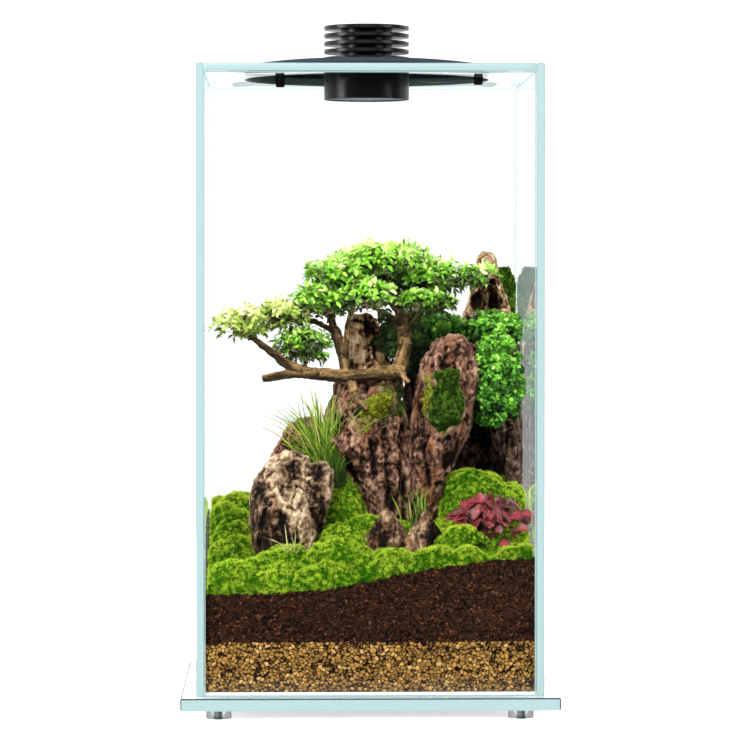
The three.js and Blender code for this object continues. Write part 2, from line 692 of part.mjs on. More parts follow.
function grassTuft(tuft, neighbours) {
  const random = seeded(tuft.seed);
  const [x, y, z] = tuft.at;
  const parts = [rootBall(tuft, 0)];
  for (let k = 0; k < tuft.blades; k += 1) {
    for (let attempt = 0; attempt < TRIES; attempt += 1) {
      const angle = 2.4 * k + random();
      const lean = lerp(tuft.reach[0], tuft.reach[1], random());
      const length = lerp(tuft.length[0], tuft.length[1], random());
      const out = vec(Math.cos(angle), 0.5 * Math.sin(angle) - 0.25, 0);
      const steps = [0, 0.35, 0.7, 1];
      const stations = (grow) => steps.map((t) => {
        const rise = length * t * (1 - 0.25 * lean * t);
        const run = length * lean * 0.75 * t ** 1.6;
        return [x + out.x * (2 + run), y + out.y * (2 + run), z + rise, tuft.radius * (1 - 0.45 * t) + grow];
      });
      const test = limb(stations(LEAF_ROOM), BLADE_SIDES);
      if (insideCase(test) && test.intersect(neighbours).isEmpty()) {
        parts.push(limb(stations(0), BLADE_SIDES));
        break;
      }
    }
  }
  return join(parts);
}

// Leaves on bent stems that rise from one root ball, the outer ones lower.
function redPlant(plant, neighbours) {
  const random = seeded(plant.seed);
  const [x, y, z] = plant.at;
  const parts = [rootBall(plant, 0)];
  for (let k = 0; k < plant.leaves; k += 1) {
    for (let attempt = 0; attempt < TRIES; attempt += 1) {
      const angle = 2.4 * k + random();
      const away = Math.sqrt((k + 0.6) / plant.leaves);
      const out = vec(Math.cos(angle), Math.sin(angle), 0);
      const reach = vec(plant.spread[0], plant.spread[1], 0).multiplyScalar(away).multiply(out);
      const centre = vec(x, y, z + plant.lift * (1.05 - 0.65 * away)).add(reach);
      const along = out.clone().add(vec(0, 0, 0.15)).normalize();
      const face = vec(out.x * 0.3 + 0.4 * (random() - 0.5), out.y * 0.3 - 0.35, 1).normalize();
      const scale = 0.75 + 0.35 * random();
      const size = { ...RED_LEAF, length: RED_LEAF.length * scale, width: RED_LEAF.width * scale };
      const root = centre.addScaledVector(along, -size.length * 0.45);
      const joint = root.clone().addScaledVector(along, size.sunk);
      const bend = [lerp(x, joint.x, 0.6), lerp(y, joint.y, 0.6), lerp(z, joint.z, 0.75)];
      const stem = (grow) => limb([
        [x, y, z, 1 + grow], [...bend, 0.8 + grow], [joint.x, joint.y, joint.z, 0.7 + grow],
      ], BLADE_SIDES);
      const blade = { root, along, face };
      const test = leaf(blade, size, LEAF_ROOM).add(stem(LEAF_ROOM));
      if (insideCase(test) && test.intersect(neighbours).isEmpty()) {
        parts.push(stem(0), leaf(blade, size));
        break;
      }
    }
  }
  return join(parts);
}

// ---------------------------------------------------------------- planting, from the stones outwards

function buildPlanting() {
  const wood = join(WOOD.map((stations) => limb(stations, WOOD_SIDES)));
  const woodRoom = join(WOOD.map((stations) => limb(stations, WOOD_SIDES, CLEAR)));
  let taken = woodRoom.add(earth);

  for (const { name, seed, material, levels, lobe } of STONES) {
    const profiles = lobe ? [levels, lobe] : [levels];
    const shape = (grow) => join(profiles.map((profile) => stone(seed, profile, { grow })));
    let solid = shape(0).subtract(taken).intersect(airSpace);
    let room = shape(STONE_ROOM);
    if (name === 'stone_spire') {
      solid = solid.subtract(stone(seed, SPIRE_HOLLOW, { sides: 7 }));
      room = room.subtract(stone(seed, SPIRE_HOLLOW, { sides: 7, grow: -CORE_ROOM }));
    }
    placeSolid(name, solid, material);
    taken = taken.add(room);
  }
  const slab = mound(...MOSSED_SLAB, SLAB_FACE);
  placeSolid('mossed_slab', slab.subtract(taken).intersect(airSpace), DARK_MOSS);
  taken = taken.add(mound(...MOSSED_SLAB, { ...SLAB_FACE, grow: STONE_ROOM }));
  placeSolid('tree_wood', wood, BARK);

  const standing = taken;
  const grown = [...GRASSES, RED_PLANT];
  for (const plant of grown) taken = taken.add(rootBall(plant, CLEAR));
  const carpet = (grow) => join([
    bed((x, y) => carpetTop(x, y) + grow, () => GRAVEL_TOP, CARPET_CELLS),
    ...CARPET_MOUNDS.map(([at, size]) => mound(at, size, { ...CARPET_KNOBBLY, grow })),
  ]);
  placeSolid('moss_carpet', carpet(0).subtract(taken).intersect(airSpace), MOSS_GREEN);
  taken = taken.add(carpet(CLEAR));
  placeSolid('moss_cushion', mound(...CUSHION, KNOBBLY).subtract(taken), MOSS_GREEN);
  taken = taken.add(mound(...CUSHION, { ...KNOBBLY, grow: MOSS_ROOM }));
  for (const { name, material, at, size } of MOSS_PATCHES) {
    placeSolid(name, mound(at, size, PATCHY).subtract(taken), material);
    taken = taken.add(mound(at, size, { ...PATCHY, grow: MOSS_ROOM }));
  }

  const crowds = [...PADS.map((core) => [core, LEAF]), ...BUSHES.map((core) => [core, FROND])];
  const bodies = [];
  for (const [core] of crowds) {
    bodies.push(largestPiece(mound(core.at, core.size, CORE).subtract(taken).intersect(airSpace)));
    taken = taken.add(mound(core.at, core.size, { ...CORE, grow: CORE_ROOM }));
  }
  crowds.forEach(([core, size], index) => {
    const room = mound(core.at, core.size, { ...CORE, grow: CORE_ROOM + 0.05 });
    const solid = leafyBody(core, bodies[index], size, taken.subtract(room), 100 + index)
      .subtract(standing);
    placeSolid(core.name, solid, core.material);
    taken = taken.add(solid);
  });

  for (const plant of grown) {
    const neighbours = taken.subtract(rootBall(plant, CLEAR));
    const grow = plant.blades ? grassTuft : redPlant;
    const solid = grow(plant, neighbours).subtract(standing);
    placeSolid(plant.name, solid, plant.material);
    taken = taken.add(solid);
  }
}

buildCase();
buildLamp();
buildBeds();
buildPlanting();

export default terrarium;
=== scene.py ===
"""Planted glass terrarium with a lift-out lamp: the visible pieces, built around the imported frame.

Every piece is in metres in the frame's axes: +Z up, +X right, +Y to the back, floor at z = 0.
Sizes in the code are millimetres and are scaled once, when a mesh is made.
"""

import json
import math

import bmesh
import bpy
import numpy as np
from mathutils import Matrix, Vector


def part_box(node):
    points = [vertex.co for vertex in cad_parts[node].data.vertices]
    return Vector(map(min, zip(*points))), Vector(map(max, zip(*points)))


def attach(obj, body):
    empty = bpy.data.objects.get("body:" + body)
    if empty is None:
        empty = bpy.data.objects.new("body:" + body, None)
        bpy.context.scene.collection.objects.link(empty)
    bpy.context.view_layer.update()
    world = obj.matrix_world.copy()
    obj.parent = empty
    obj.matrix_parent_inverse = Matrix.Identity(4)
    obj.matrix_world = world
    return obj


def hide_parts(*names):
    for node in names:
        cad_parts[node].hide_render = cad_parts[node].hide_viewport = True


bl_info = {
    "name": "Planted glass terrarium",
    "version": (1, 0, 0),
    "blender": (4, 5, 0),
    "location": "3D View > Sidebar > Terrarium",
    "description": "Builds a planted glass terrarium piece by piece around its solid frame",
    "category": "Add Mesh",
}

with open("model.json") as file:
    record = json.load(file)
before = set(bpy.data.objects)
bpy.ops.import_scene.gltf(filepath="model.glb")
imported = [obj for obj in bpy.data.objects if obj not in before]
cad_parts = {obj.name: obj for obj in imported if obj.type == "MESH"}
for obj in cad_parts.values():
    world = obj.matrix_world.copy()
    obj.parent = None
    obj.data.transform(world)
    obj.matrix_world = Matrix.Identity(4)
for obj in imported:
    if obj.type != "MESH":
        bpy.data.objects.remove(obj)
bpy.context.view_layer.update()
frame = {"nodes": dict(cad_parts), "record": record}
NODES = frame["nodes"]

MM = 0.001
BODY = "root"
UP = np.array([0.0, 0.0, 1.0])


def node_box(node):
    """Lowest and highest corner of a frame node in millimetres."""
    low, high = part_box(node)
    return np.array(low) / MM, np.array(high) / MM


WALL = node_box("panel_right")[0][0]  # inner face of the side panels
LAMP_RADIUS = node_box("lamp_body")[1][0]
NODE_SLOTS = {part["node"]: part["material_slot"] for part in frame["record"]["subparts"]}


# ---------------------------------------------------------------- settings

def linear(hex_colour):
    """Linear red, green, blue and alpha of an sRGB hex colour."""
    parts = [int(hex_colour[i:i + 2], 16) / 255 for i in (0, 2, 4)]
    return (*(c / 12.92 if c <= 0.04045 else ((c + 0.055) / 1.055) ** 2.4 for c in parts), 1.0)


def length(name, description, millimetres):
    """A size that the user can change, shown in scene units."""
    return bpy.props.FloatProperty(
        name=name, description=description, default=millimetres * MM, min=0.0,
        precision=4, subtype="DISTANCE", unit="LENGTH")


def colour(name, description, hex_colour):
    """A colour that the user can change."""
    return bpy.props.FloatVectorProperty(
        name=name, description=description, default=linear(hex_colour), size=4,
        min=0.0, max=1.0, subtype="COLOR")


class CaseSettings(bpy.types.PropertyGroup):
    """Glass case and its feet"""
    arris: length("Arris", "Width of the ground edge between a panel's face and its cut edge", 0.45)
    edge_tint: colour("Edge tint", "Colour that the cut edges of the glass gather", "CFF1F2")
    foot_chamfer: length("Foot chamfer", "Width of the turned chamfer under each foot", 0.4)


class LampSettings(bpy.types.PropertyGroup):
    """Lamp that rests in the lid"""
    metal: colour("Anodised black", "Colour of the fins and the lamp body", "08070B")
    saucer: colour("Saucer", "Colour of the saucer's satin paint", "151619")
    lens: colour("Lens", "Colour of the diffuser while the lamp is off", "5F6F7C")
    chamfer: length("Chamfer", "Width of the turned chamfers", 0.35)


class BedSettings(bpy.types.PropertyGroup):
    """Gravel and soil behind the glass"""
    gravel_grain: length("Gravel grain", "Usual width of a gravel granule", 2.5)
    soil_grain: length("Soil grain", "Usual width of a soil granule", 1.8)
    gravel: colour("Gravel", "Usual colour of the gravel", "A27A3C")
    soil: colour("Soil", "Usual colour of the soil", "3A2010")


class StoneSettings(bpy.types.PropertyGroup):
    """Weathered stones"""
    flute_depth: length("Flute depth", "Depth of the weathered grooves that run up a stone", 3.4)
    chip_depth: length("Chip depth", "Height of the steps that flakes leave", 1.1)
    detail: length("Detail", "Size of the small squares that a stone is cut into", 0.72)


class MossSettings(bpy.types.PropertyGroup):
    """Moss carpet, cushions and patches"""
    sprig: length("Sprig", "Radius of one star of moss leaflets", 1.6)
    spacing: length("Spacing", "Usual distance between neighbouring sprigs", 1.15)
    tip: colour("Tips", "Colour of the young tips", "E6FF4E")
    depth: colour("Depth", "Colour down between the sprigs", "1A4204")


class TreeSettings(bpy.types.PropertyGroup):
    """Small tree"""
    leaf: length("Leaf", "Usual length of a leaf", 5.4)
    rosette_gap: length("Rosette gap", "Distance between neighbouring leaf rosettes", 4.9)
    bark: colour("Bark", "Usual colour of the bark", "735A38")
    leaf_top: colour("Leaf", "Usual colour of a leaf's upper side", "7CC02E")


class PlantSettings(bpy.types.PropertyGroup):
    """Grasses, creepers and the red-leaved plant"""
    blade_width: length("Blade width", "Width of a grass blade near its foot", 0.85)
    frond: length("Frond", "Usual width of a clump of the creeper's leaflets", 5.6)
    red_leaf: length("Red leaf", "Usual length of a leaf of the red plant", 11.0)
    veins: colour("Veins", "Colour of the red plant's net of veins", "AC424C")


class StageSettings(bpy.types.PropertyGroup):
    """Floor, lights and camera"""
    floor: colour("Floor", "Colour of the studio floor", "F6F6F6")
    key_power: bpy.props.FloatProperty(
        name="Key light", description="Power of the large light over the case", default=54.0,
        min=0.0, unit="POWER")
    lens_length: bpy.props.FloatProperty(
        name="Lens", description="Focal length of the camera", default=180.2, min=1.0,
        subtype="DISTANCE_CAMERA")


class TerrariumSettings(bpy.types.PropertyGroup):
    """All sizes and colours of the terrarium"""
    case: bpy.props.PointerProperty(type=CaseSettings)
    lamp: bpy.props.PointerProperty(type=LampSettings)
    beds: bpy.props.PointerProperty(type=BedSettings)
    stones: bpy.props.PointerProperty(type=StoneSettings)
    moss: bpy.props.PointerProperty(type=MossSettings)
    tree: bpy.props.PointerProperty(type=TreeSettings)
    plants: bpy.props.PointerProperty(type=PlantSettings)
    stage: bpy.props.PointerProperty(type=StageSettings)


# ---------------------------------------------------------------- noise, in numpy

OCTANTS = np.array([[i, j, k] for i in (0, 1) for j in (0, 1) for k in (0, 1)])
NEIGHBOURS = np.array([[i, j, k] for i in (-1, 0, 1) for j in (-1, 0, 1) for k in (-1, 0, 1)])


def hashed(cells, seed):
    """Even random numbers from 0 to 1, one for each whole-numbered lattice point."""
    n = cells.astype(np.int64)
    h = n[..., 0] * 374761393 + n[..., 1] * 668265263 + n[..., 2] * 2147483629 + seed * 974634777
    for shift, factor in ((13, 1274126177), (16, 2246822519)):
        h &= 0xFFFFFFFF
        h = (h ^ (h >> shift)) * factor
    h &= 0xFFFFFFFF
    return ((h ^ (h >> 15)) & 0xFFFFFF) / 0xFFFFFF


def waves(points, size, seed):
    """Smooth noise from -1 to 1 whose hills are about size across."""
    at = points / size
    low = np.floor(at)
    share = at - low
    share = share * share * (3 - 2 * share)
    total = np.zeros(len(points))
    for corner in OCTANTS:
        weight = np.prod(np.where(corner, share, 1 - share), axis=1)
        total += weight * hashed(low + corner, seed)
    return 2 * total - 1


def rough(points, size, seed, octaves=4):
    """Noise from about -1 to 1 with finer and finer hills on its hills."""
    layers = [waves(points, np.asarray(size) / 2 ** k, seed + k) / 2 ** k for k in range(octaves)]
    return sum(layers) / 1.5


def ridged(points, size, seed, octaves=3):
    """Noise from 0 to 1 with sharp crests."""
    layers = [(1 - np.abs(waves(points, np.asarray(size) / 2 ** k, seed + k))) ** 2 / 2 ** k
              for k in range(octaves)]
    return sum(layers) / 1.75


def flakes(points, size, seed):
    """Cells round scattered seeds: distances to the nearest seed and the next, a number, and a tilt."""
    at = points / size
    low = np.floor(at)
    near = np.full(len(points), 9.0)
    second = near.copy()
    own = np.zeros(len(points))
    tilt = np.zeros(len(points))
    for step in NEIGHBOURS:
        cell = low + step
        middle = cell + np.stack([hashed(cell, seed + k) for k in range(3)], axis=1)
        distance = np.linalg.norm(at - middle, axis=1)
        closer = distance < near
        second = np.where(closer, near, np.minimum(second, distance))
        own = np.where(closer, hashed(cell, seed + 3), own)
        slope = np.stack([hashed(cell, seed + k) for k in range(4, 7)], axis=1) - 0.5
        tilt = np.where(closer, np.sum(slope * (at - middle), axis=1), tilt)
        near = np.where(closer, distance, near)
    return near, second, own, tilt


# ---------------------------------------------------------------- meshes and pieces

def new_mesh(name, points, faces):
    """A mesh of triangles or quads from arrays in millimetres."""
    mesh = bpy.data.meshes.new(name)
    corners = faces.shape[1]
    mesh.vertices.add(len(points))
    mesh.vertices.foreach_set("co", (points * MM).astype(np.float32).ravel())
    mesh.loops.add(faces.size)
    mesh.loops.foreach_set("vertex_index", faces.astype(np.int32).ravel())
    mesh.polygons.add(len(faces))
    mesh.polygons.foreach_set("loop_start", np.arange(len(faces), dtype=np.int32) * corners)
    mesh.update(calc_edges=True)
    mesh.validate()
    return mesh


def give(mesh, values):
    """Stores three numbers a vertex under the name grown, for the materials."""
    layer = mesh.attributes.new("grown", "FLOAT_VECTOR", "POINT")
    layer.data.foreach_set("vector", np.ascontiguousarray(values, dtype=np.float32).ravel())


def read_points(mesh, name="co"):
    """Vertex places in millimetres, or vertex normals, as an array."""
    values = np.zeros(len(mesh.vertices) * 3, dtype=np.float32)
    if name == "co":
        mesh.vertices.foreach_get("co", values)
        return values.reshape(-1, 3).astype(float) / MM
    mesh.vertex_normals.foreach_get("vector", values)
    return values.reshape(-1, 3).astype(float)


def read_triangles(mesh):
    """Vertex numbers of the mesh's triangles."""
    mesh.calc_loop_triangles()
    values = np.zeros(len(mesh.loop_triangles) * 3, dtype=np.int32)
    mesh.loop_triangles.foreach_get("vertices", values)
    return values.reshape(-1, 3)


def place_points(mesh, points):
    """Moves the mesh's vertices to places in millimetres."""
    mesh.vertices.foreach_set("co", (points * MM).astype(np.float32).ravel())
    mesh.update()


def piece(name, mesh, materials, slot, *nodes):
    """Shows a mesh as a piece of the terrarium that stands for the named frame nodes."""
    thing = bpy.data.objects.new(name, mesh)
    bpy.context.scene.collection.objects.link(thing)
    for material in materials:
        mesh.materials.append(material)
    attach(thing, BODY)
    if nodes:
        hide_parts(*nodes)
    return thing


def from_bmesh(name, shape, sharp=None):
    """A mesh from an edited shape, smooth except at edges sharper than an angle in degrees."""
    mesh = bpy.data.meshes.new(name)
    shape.to_mesh(mesh)
    shape.free()
    if sharp is not None:
        mesh.shade_smooth()
        mesh.set_sharp_from_angle(angle=math.radians(sharp))
    return mesh


def remeshed(name, source, voxel, smoothing):
    """A mesh rebuilt from even small squares, with its facets softened."""
    shape = bmesh.new()
    shape.from_mesh(source)
    bmesh.ops.remove_doubles(shape, verts=shape.verts, dist=1e-6)
    mould = bpy.data.objects.new("mould", from_bmesh("mould", shape))
    bpy.context.scene.collection.objects.link(mould)
    remesh = mould.modifiers.new("Even squares", "REMESH")
    remesh.mode = "VOXEL"
    remesh.voxel_size = voxel * MM
    soften = mould.modifiers.new("Soften", "SMOOTH")
    soften.factor = 0.5
    soften.iterations = smoothing
    graph = bpy.context.evaluated_depsgraph_get()
    mesh = bpy.data.meshes.new_from_object(mould.evaluated_get(graph))
    bpy.data.objects.remove(mould)
    mesh.name = name
    mesh.shade_smooth()
    return mesh


def turned(name, profile, sides=96, sharp=25):
    """A turned shape from radius and height pairs in millimetres."""
    shape = bmesh.new()
    points = [shape.verts.new((r * MM, 0, z * MM)) for r, z in profile]
    edges = [shape.edges.new(pair) for pair in zip(points, points[1:])]
    bmesh.ops.spin(shape, geom=points + edges, angle=2 * math.pi, steps=sides,
                   axis=(0, 0, 1), cent=(0, 0, 0))
    bmesh.ops.remove_doubles(shape, verts=shape.verts, dist=1e-6)
    bmesh.ops.recalc_face_normals(shape, faces=shape.faces)
    return from_bmesh(name, shape, sharp)


def scattered(template, places, axes, sizes):
    """Copies of a small shape: axes holds each copy's three directions as rows, sizes its scale."""
    points, faces = template
    sizes = np.asarray(sizes, dtype=float)
    if sizes.ndim == 1:
        sizes = sizes[:, None]
    moved = np.einsum("npk,nkj->npj", points[None] * sizes[:, None, :], axes) + places[:, None, :]
    shift = np.arange(len(places))[:, None, None] * len(points)
    return moved.reshape(-1, 3), (faces[None] + shift).reshape(-1, faces.shape[1])


def unit(vectors):
    """The same directions with length one."""
    return vectors / np.maximum(np.linalg.norm(vectors, axis=-1, keepdims=True), 1e-9)


def axes_from(along, face):
    """Rows side, along and normal for shapes that grow along one direction and face another."""
    along = unit(along)
    side = unit(np.cross(along, face))
    return np.stack([side, along, np.cross(side, along)], axis=1)


def spun_axes(normals, random):
    """Axes whose third row is the normal, turned at random about it."""
    sideways = unit(np.cross(normals, random.normal(size=normals.shape)))
    return np.stack([sideways, np.cross(normals, sideways), normals], axis=1)


def tube_along(stations, sides, steps, wobble=0.0, random=None):
    """Points and quads of a round limb along smooth stations of x, y, z and radius."""
    stations = np.asarray(stations, dtype=float)
    padded = np.vstack([2 * stations[0] - stations[1], stations, 2 * stations[-1] - stations[-2]])
    path = []
    for a, b, c, d in zip(padded, padded[1:], padded[2:], padded[3:]):
        for t in np.arange(steps) / steps:
            path.append(0.5 * (2 * b + (c - a) * t + (2 * a - 5 * b + 4 * c - d) * t ** 2
                               + (3 * b - a - 3 * c + d) * t ** 3))
    path = np.array(path + [stations[-1]])
    if wobble:
        path[1:-1, :3] += random.normal(size=(len(path) - 2, 3)) * wobble
    ahead = unit(np.gradient(path[:, :3], axis=0))
    across = unit(np.cross(ahead, [0.31, 0.87, 0.38]))
    over = np.cross(ahead, across)
    turn = 2 * np.pi * np.arange(sides) / sides
    ring = (np.cos(turn)[None, :, None] * across[:, None] + np.sin(turn)[None, :, None] * over[:, None])
    points = path[:, None, :3] + ring * np.abs(path[:, None, 3:4])
    rows = np.arange(len(path) - 1)[:, None] * sides
    k = np.arange(sides)[None]
    nxt = (k + 1) % sides
    quads = np.stack([rows + k, rows + nxt, rows + sides + nxt, rows + sides + k], axis=-1)
    return points.reshape(-1, 3), quads.reshape(-1, 4)


def merged(parts):
    """One pair of arrays from many pairs of points and faces."""
    points, faces, start = [], [], 0
    for part_points, part_faces in parts:
        points.append(part_points)
        faces.append(part_faces + start)
        start += len(part_points)
    return np.vstack(points), np.vstack(faces)


def sampled(points, triangles, number, random, keep):
    """Random places on the triangles that keep allows, with their normals."""
    a, b, c = (points[triangles[:, k]] for k in range(3))
    cross = np.cross(b - a, c - a)
    area = np.linalg.norm(cross, axis=1) / 2
    normals = unit(cross)
    weight = area * keep((a + b + c) / 3, normals)
    chosen = random.choice(len(triangles), size=number(weight.sum()), p=weight / weight.sum())
    u, v = random.random((2, len(chosen), 1))
    flip = u + v > 1
    u, v = np.where(flip, 1 - u, u), np.where(flip, 1 - v, v)
    places = a[chosen] + (b - a)[chosen] * u + (c - a)[chosen] * v
    return places, normals[chosen]


def behind_glass(points, gap=0.25):
    """The same points, none of them past the inner faces of the panels."""
    points[:, :2] = np.clip(points[:, :2], gap - WALL, WALL - gap)
    return points


# ---------------------------------------------------------------- materials

WHITE, BLACK = (1.0, 1.0, 1.0, 1.0), (0.0, 0.0, 0.0, 1.0)
FIRST, SECOND = 6, 7  # a Mix node's two colour inputs
COLOURS = {"data_type": "RGBA", "out": 2}  # what makes a Mix node mix colours, and its colour output
GLASS_MIRROR = 0.04  # share of light that glass mirrors where it is looked at straight on
PASSES = 0.3  # share of light that passes through a leaf


def toned(hex_or_colour):
    """Linear colour of a hex string, or the colour itself."""
    return linear(hex_or_colour) if isinstance(hex_or_colour, str) else tuple(hex_or_colour)


def shaded(base, factor):
    """A colour made darker or lighter by a factor."""
    return (*(min(c * factor, 1.0) for c in toned(base)[:3]), 1.0)


def add(tree, kind, inputs=None, stops=(), out=0, **settings):
    """Adds a node and gives one output: settings are its own fields, inputs hold values or outputs."""
    node = tree.nodes.new(f"ShaderNode{kind}")
    for name, value in settings.items():
        setattr(node, name, value)
    for name, value in (inputs or {}).items():
        if isinstance(value, bpy.types.NodeSocket):
            tree.links.new(value, node.inputs[name])
        else:
            node.inputs[name].default_value = toned(value) if isinstance(value, str) else value
    # a ramp starts with a first and a last stop, and the others are added between them
    for k, (position, shade) in enumerate([*stops[:1], *stops[:0:-1]]):
        element = node.color_ramp.elements[k] if k < 2 else node.color_ramp.elements.new(position)
        element.position = position
        element.color = toned(shade)
    return node.outputs[out]


def blank(name):
    """A new material and its emptied node tree."""
    material = bpy.data.materials.new(name)
    material.use_nodes = True
    material.node_tree.nodes.clear()
    return material, material.node_tree


def surfaced(owner, shader, kind="Material"):
    """The material or world, with a shader linked to its surface."""
    output = owner.node_tree.nodes.new(f"ShaderNodeOutput{kind}")
    owner.node_tree.links.new(shader, output.inputs["Surface"])
    return owner


def grown(tree):
    """The three numbers that give stored with a mesh, each as an output."""
    vector = add(tree, "Attribute", out="Vector", attribute_name="grown")
    return add(tree, "SeparateXYZ", {"Vector": vector}).node.outputs


def float_glass():
    """Float glass with fire-polished faces: clear, and a mirror only at a glancing look."""
    material, tree = blank("Float glass, polished face")
    clear = add(tree, "BsdfTransparent", {"Color": (0.995, 0.999, 0.998, 1.0)})
    mirror = add(tree, "BsdfGlossy", {"Roughness": 0.0, "Color": WHITE})
    # the ray isn't bent here, so the share mirrored is the same on the way in and on the way out
    glance = add(tree, "LayerWeight", {"Blend": 0.5}, out="Facing")
    steep = add(tree, "Math", {0: glance, 1: 5.0}, operation="POWER")
    share = add(tree, "Math", {0: steep, 1: 1 - GLASS_MIRROR, 2: GLASS_MIRROR}, operation="MULTIPLY_ADD")
    return surfaced(material, add(tree, "MixShader", {0: share, 1: clear, 2: mirror}))


def cut_glass_edge(name, tint, base, painted_glow, streak_mm=12.0):
    """Ground edge of the sheet in pale aqua, lit by a painted emission that stands in for the light it
    gathers in the glass.
    """
    material, tree = blank(name)
    place = add(tree, "TexCoord", out="Object")
    streaks = add(tree, "TexNoise", {"Vector": place, "Scale": 1 / (streak_mm * MM), "Detail": 2.0})
    tone = add(tree, "ValToRGB", {"Fac": streaks}, [
        (0.3, shaded(tint, base * 0.92)), (0.7, shaded(tint, base))])
    skin = add(tree, "BsdfPrincipled", {
        "Base Color": tone, "Roughness": 0.35, "IOR": 1.5, "Specular IOR Level": 0.2,
        "Emission Color": toned(tint), "Emission Strength": painted_glow})
    return surfaced(material, skin)


def plain_finish(name, base, roughness, specular=0.5, grain_mm=0.6, bump_mm=0.01, shade=0.82,
                 stretch=(1, 1, 1)):
    """A made surface: its colour, a fine grain in tone and relief, and its gloss."""
    material, tree = blank(name)
    place = add(tree, "TexCoord", out="Object")
    sized = add(tree, "Mapping", {"Vector": place, "Scale": stretch})
    grain = add(tree, "TexNoise", {"Vector": sized, "Scale": 1 / (grain_mm * MM), "Detail": 3.0})
    tone = add(tree, "ValToRGB", {"Fac": grain}, [(0.25, shaded(base, shade)), (0.75, base)])
    relief = add(tree, "Bump", {"Height": grain, "Distance": bump_mm * MM, "Strength": 0.6})
    skin = add(tree, "BsdfPrincipled", {
        "Base Color": tone, "Normal": relief, "Roughness": roughness, "Specular IOR Level": specular})
    return surfaced(material, skin)


def granule_skin(name, base, grain_mm, fleck):
    """Baked clay granules: matt and dusty, each of its own shade, some reddish or pale, with painted shade in
    the gaps between them.
    """
    material, tree = blank(name)
    own, gap, _ = grown(tree)
    tone = add(tree, "ValToRGB", {"Fac": own}, [
        (0.0, shaded(base, 0.3)), (0.4, shaded(base, 0.8)), (0.8, shaded(base, 1.35)), (1.0, fleck)])
    place = add(tree, "TexCoord", out="Object")
    dust = add(tree, "TexNoise", {
        "Vector": place, "Scale": 1 / (grain_mm * 0.3 * MM), "Detail": 4.0, "Roughness": 0.7})
    dusted = add(tree, "Mix", {"Factor": dust, FIRST: shaded(base, 0.6), SECOND: tone}, **COLOURS)
    # painted shade: the deeper a point lies in a gap between granules, the darker it is
    sunk = add(tree, "ValToRGB", {"Fac": gap}, [(0.15, WHITE), (0.8, (0.05, 0.035, 0.025, 1))])
    painted_gap_shade = add(tree, "Mix", {"Factor": 1.0, FIRST: dusted, SECOND: sunk}, blend_type="MULTIPLY",
                 **COLOURS)
    relief = add(tree, "Bump", {"Height": dust, "Distance": grain_mm * 0.12 * MM, "Strength": 1.0})
    skin = add(tree, "BsdfPrincipled", {
        "Base Color": painted_gap_shade, "Normal": relief, "Roughness": 0.7, "IOR": 1.5,
        "Specular IOR Level": 0.08})
    return surfaced(material, skin)


def weathered_stone(name, dark, middle, light, accent, streak_mm, grit_mm=0.9):
    """Weathered layered stone: dry and matt, with painted shade in its cracks and hollows, pale on weathered
    crests, ochre in streaks.
    """
    material, tree = blank(name)
    tone_and_painted_shading = grown(tree)["X"]
    place = add(tree, "TexCoord", out="Object")
    stretched = add(tree, "Mapping", {"Vector": place, "Scale": tuple(1 / (s * MM) for s in streak_mm)})
    streaks = add(tree, "TexNoise", {
        "Vector": stretched, "Scale": 1.0, "Detail": 6.0, "Roughness": 0.68, "Distortion": 0.6})
    grit = add(tree, "TexNoise", {
        "Vector": place, "Scale": 1 / (grit_mm * MM), "Detail": 5.0, "Roughness": 0.75})
    mottled = add(tree, "Math", {0: streaks, 1: 0.6, 2: -0.57}, operation="MULTIPLY_ADD")
    speckled = add(tree, "Math", {0: grit, 1: 0.85, 2: mottled}, operation="MULTIPLY_ADD")
    grit_and_painted_shading = add(tree, "Math", {0: tone_and_painted_shading, 1: 0.8, 2: speckled}, operation="MULTIPLY_ADD")
    tone = add(tree, "ValToRGB", {"Fac": grit_and_painted_shading}, [
        (0.14, shaded(dark, 0.25)), (0.32, shaded(dark, 0.9)), (0.58, middle), (0.92, light)])
    stain = add(tree, "TexNoise", {
        "Vector": stretched, "Scale": 0.55, "Detail": 4.0, "Distortion": 1.2})
    where = add(tree, "ValToRGB", {"Fac": stain}, [(0.52, BLACK), (0.66, WHITE)])
    where_worn = add(tree, "Math", {0: where, 1: tone_and_painted_shading}, operation="MULTIPLY")
    stained = add(tree, "Mix", {"Factor": where_worn, FIRST: tone, SECOND: accent}, **COLOURS)
    relief = add(tree, "Bump", {"Height": grit_and_painted_shading, "Distance": 2.0 * MM, "Strength": 1.0})
    skin = add(tree, "BsdfPrincipled", {
        "Base Color": stained, "Normal": relief, "Roughness": 0.78, "IOR": 1.5,
        "Specular IOR Level": 0.1})
    return surfaced(material, skin)


def fissured_bark(base, flake_mm=1.4):
    """Old bark: flaky and fissured along the limb, tan on its plates and dark in its cracks, partly with
    painted shade there, and with painted light on its upper sides.
    """
    material, tree = blank("Bark, fissured and flaky")
    tone_and_painted_shading = grown(tree)["X"]
    place = add(tree, "TexCoord", out="Object")
    flake = add(tree, "TexNoise", {
        "Vector": place, "Scale": 1 / (flake_mm * MM), "Detail": 5.0, "Roughness": 0.7})
    mixed = add(tree, "Math", {0: flake, 1: 0.6, 2: tone_and_painted_shading}, operation="MULTIPLY_ADD")
    tone = add(tree, "ValToRGB", {"Fac": mixed}, [
        (0.34, shaded(base, 0.12)), (0.6, shaded(base, 0.45)), (0.8, base), (1.0, shaded(base, 1.5))])
    relief = add(tree, "Bump", {"Height": flake, "Distance": 0.5 * MM, "Strength": 0.8})
    skin = add(tree, "BsdfPrincipled", {
        "Base Color": tone, "Normal": relief, "Roughness": 0.8, "Specular IOR Level": 0.1})
    return surfaced(material, skin)


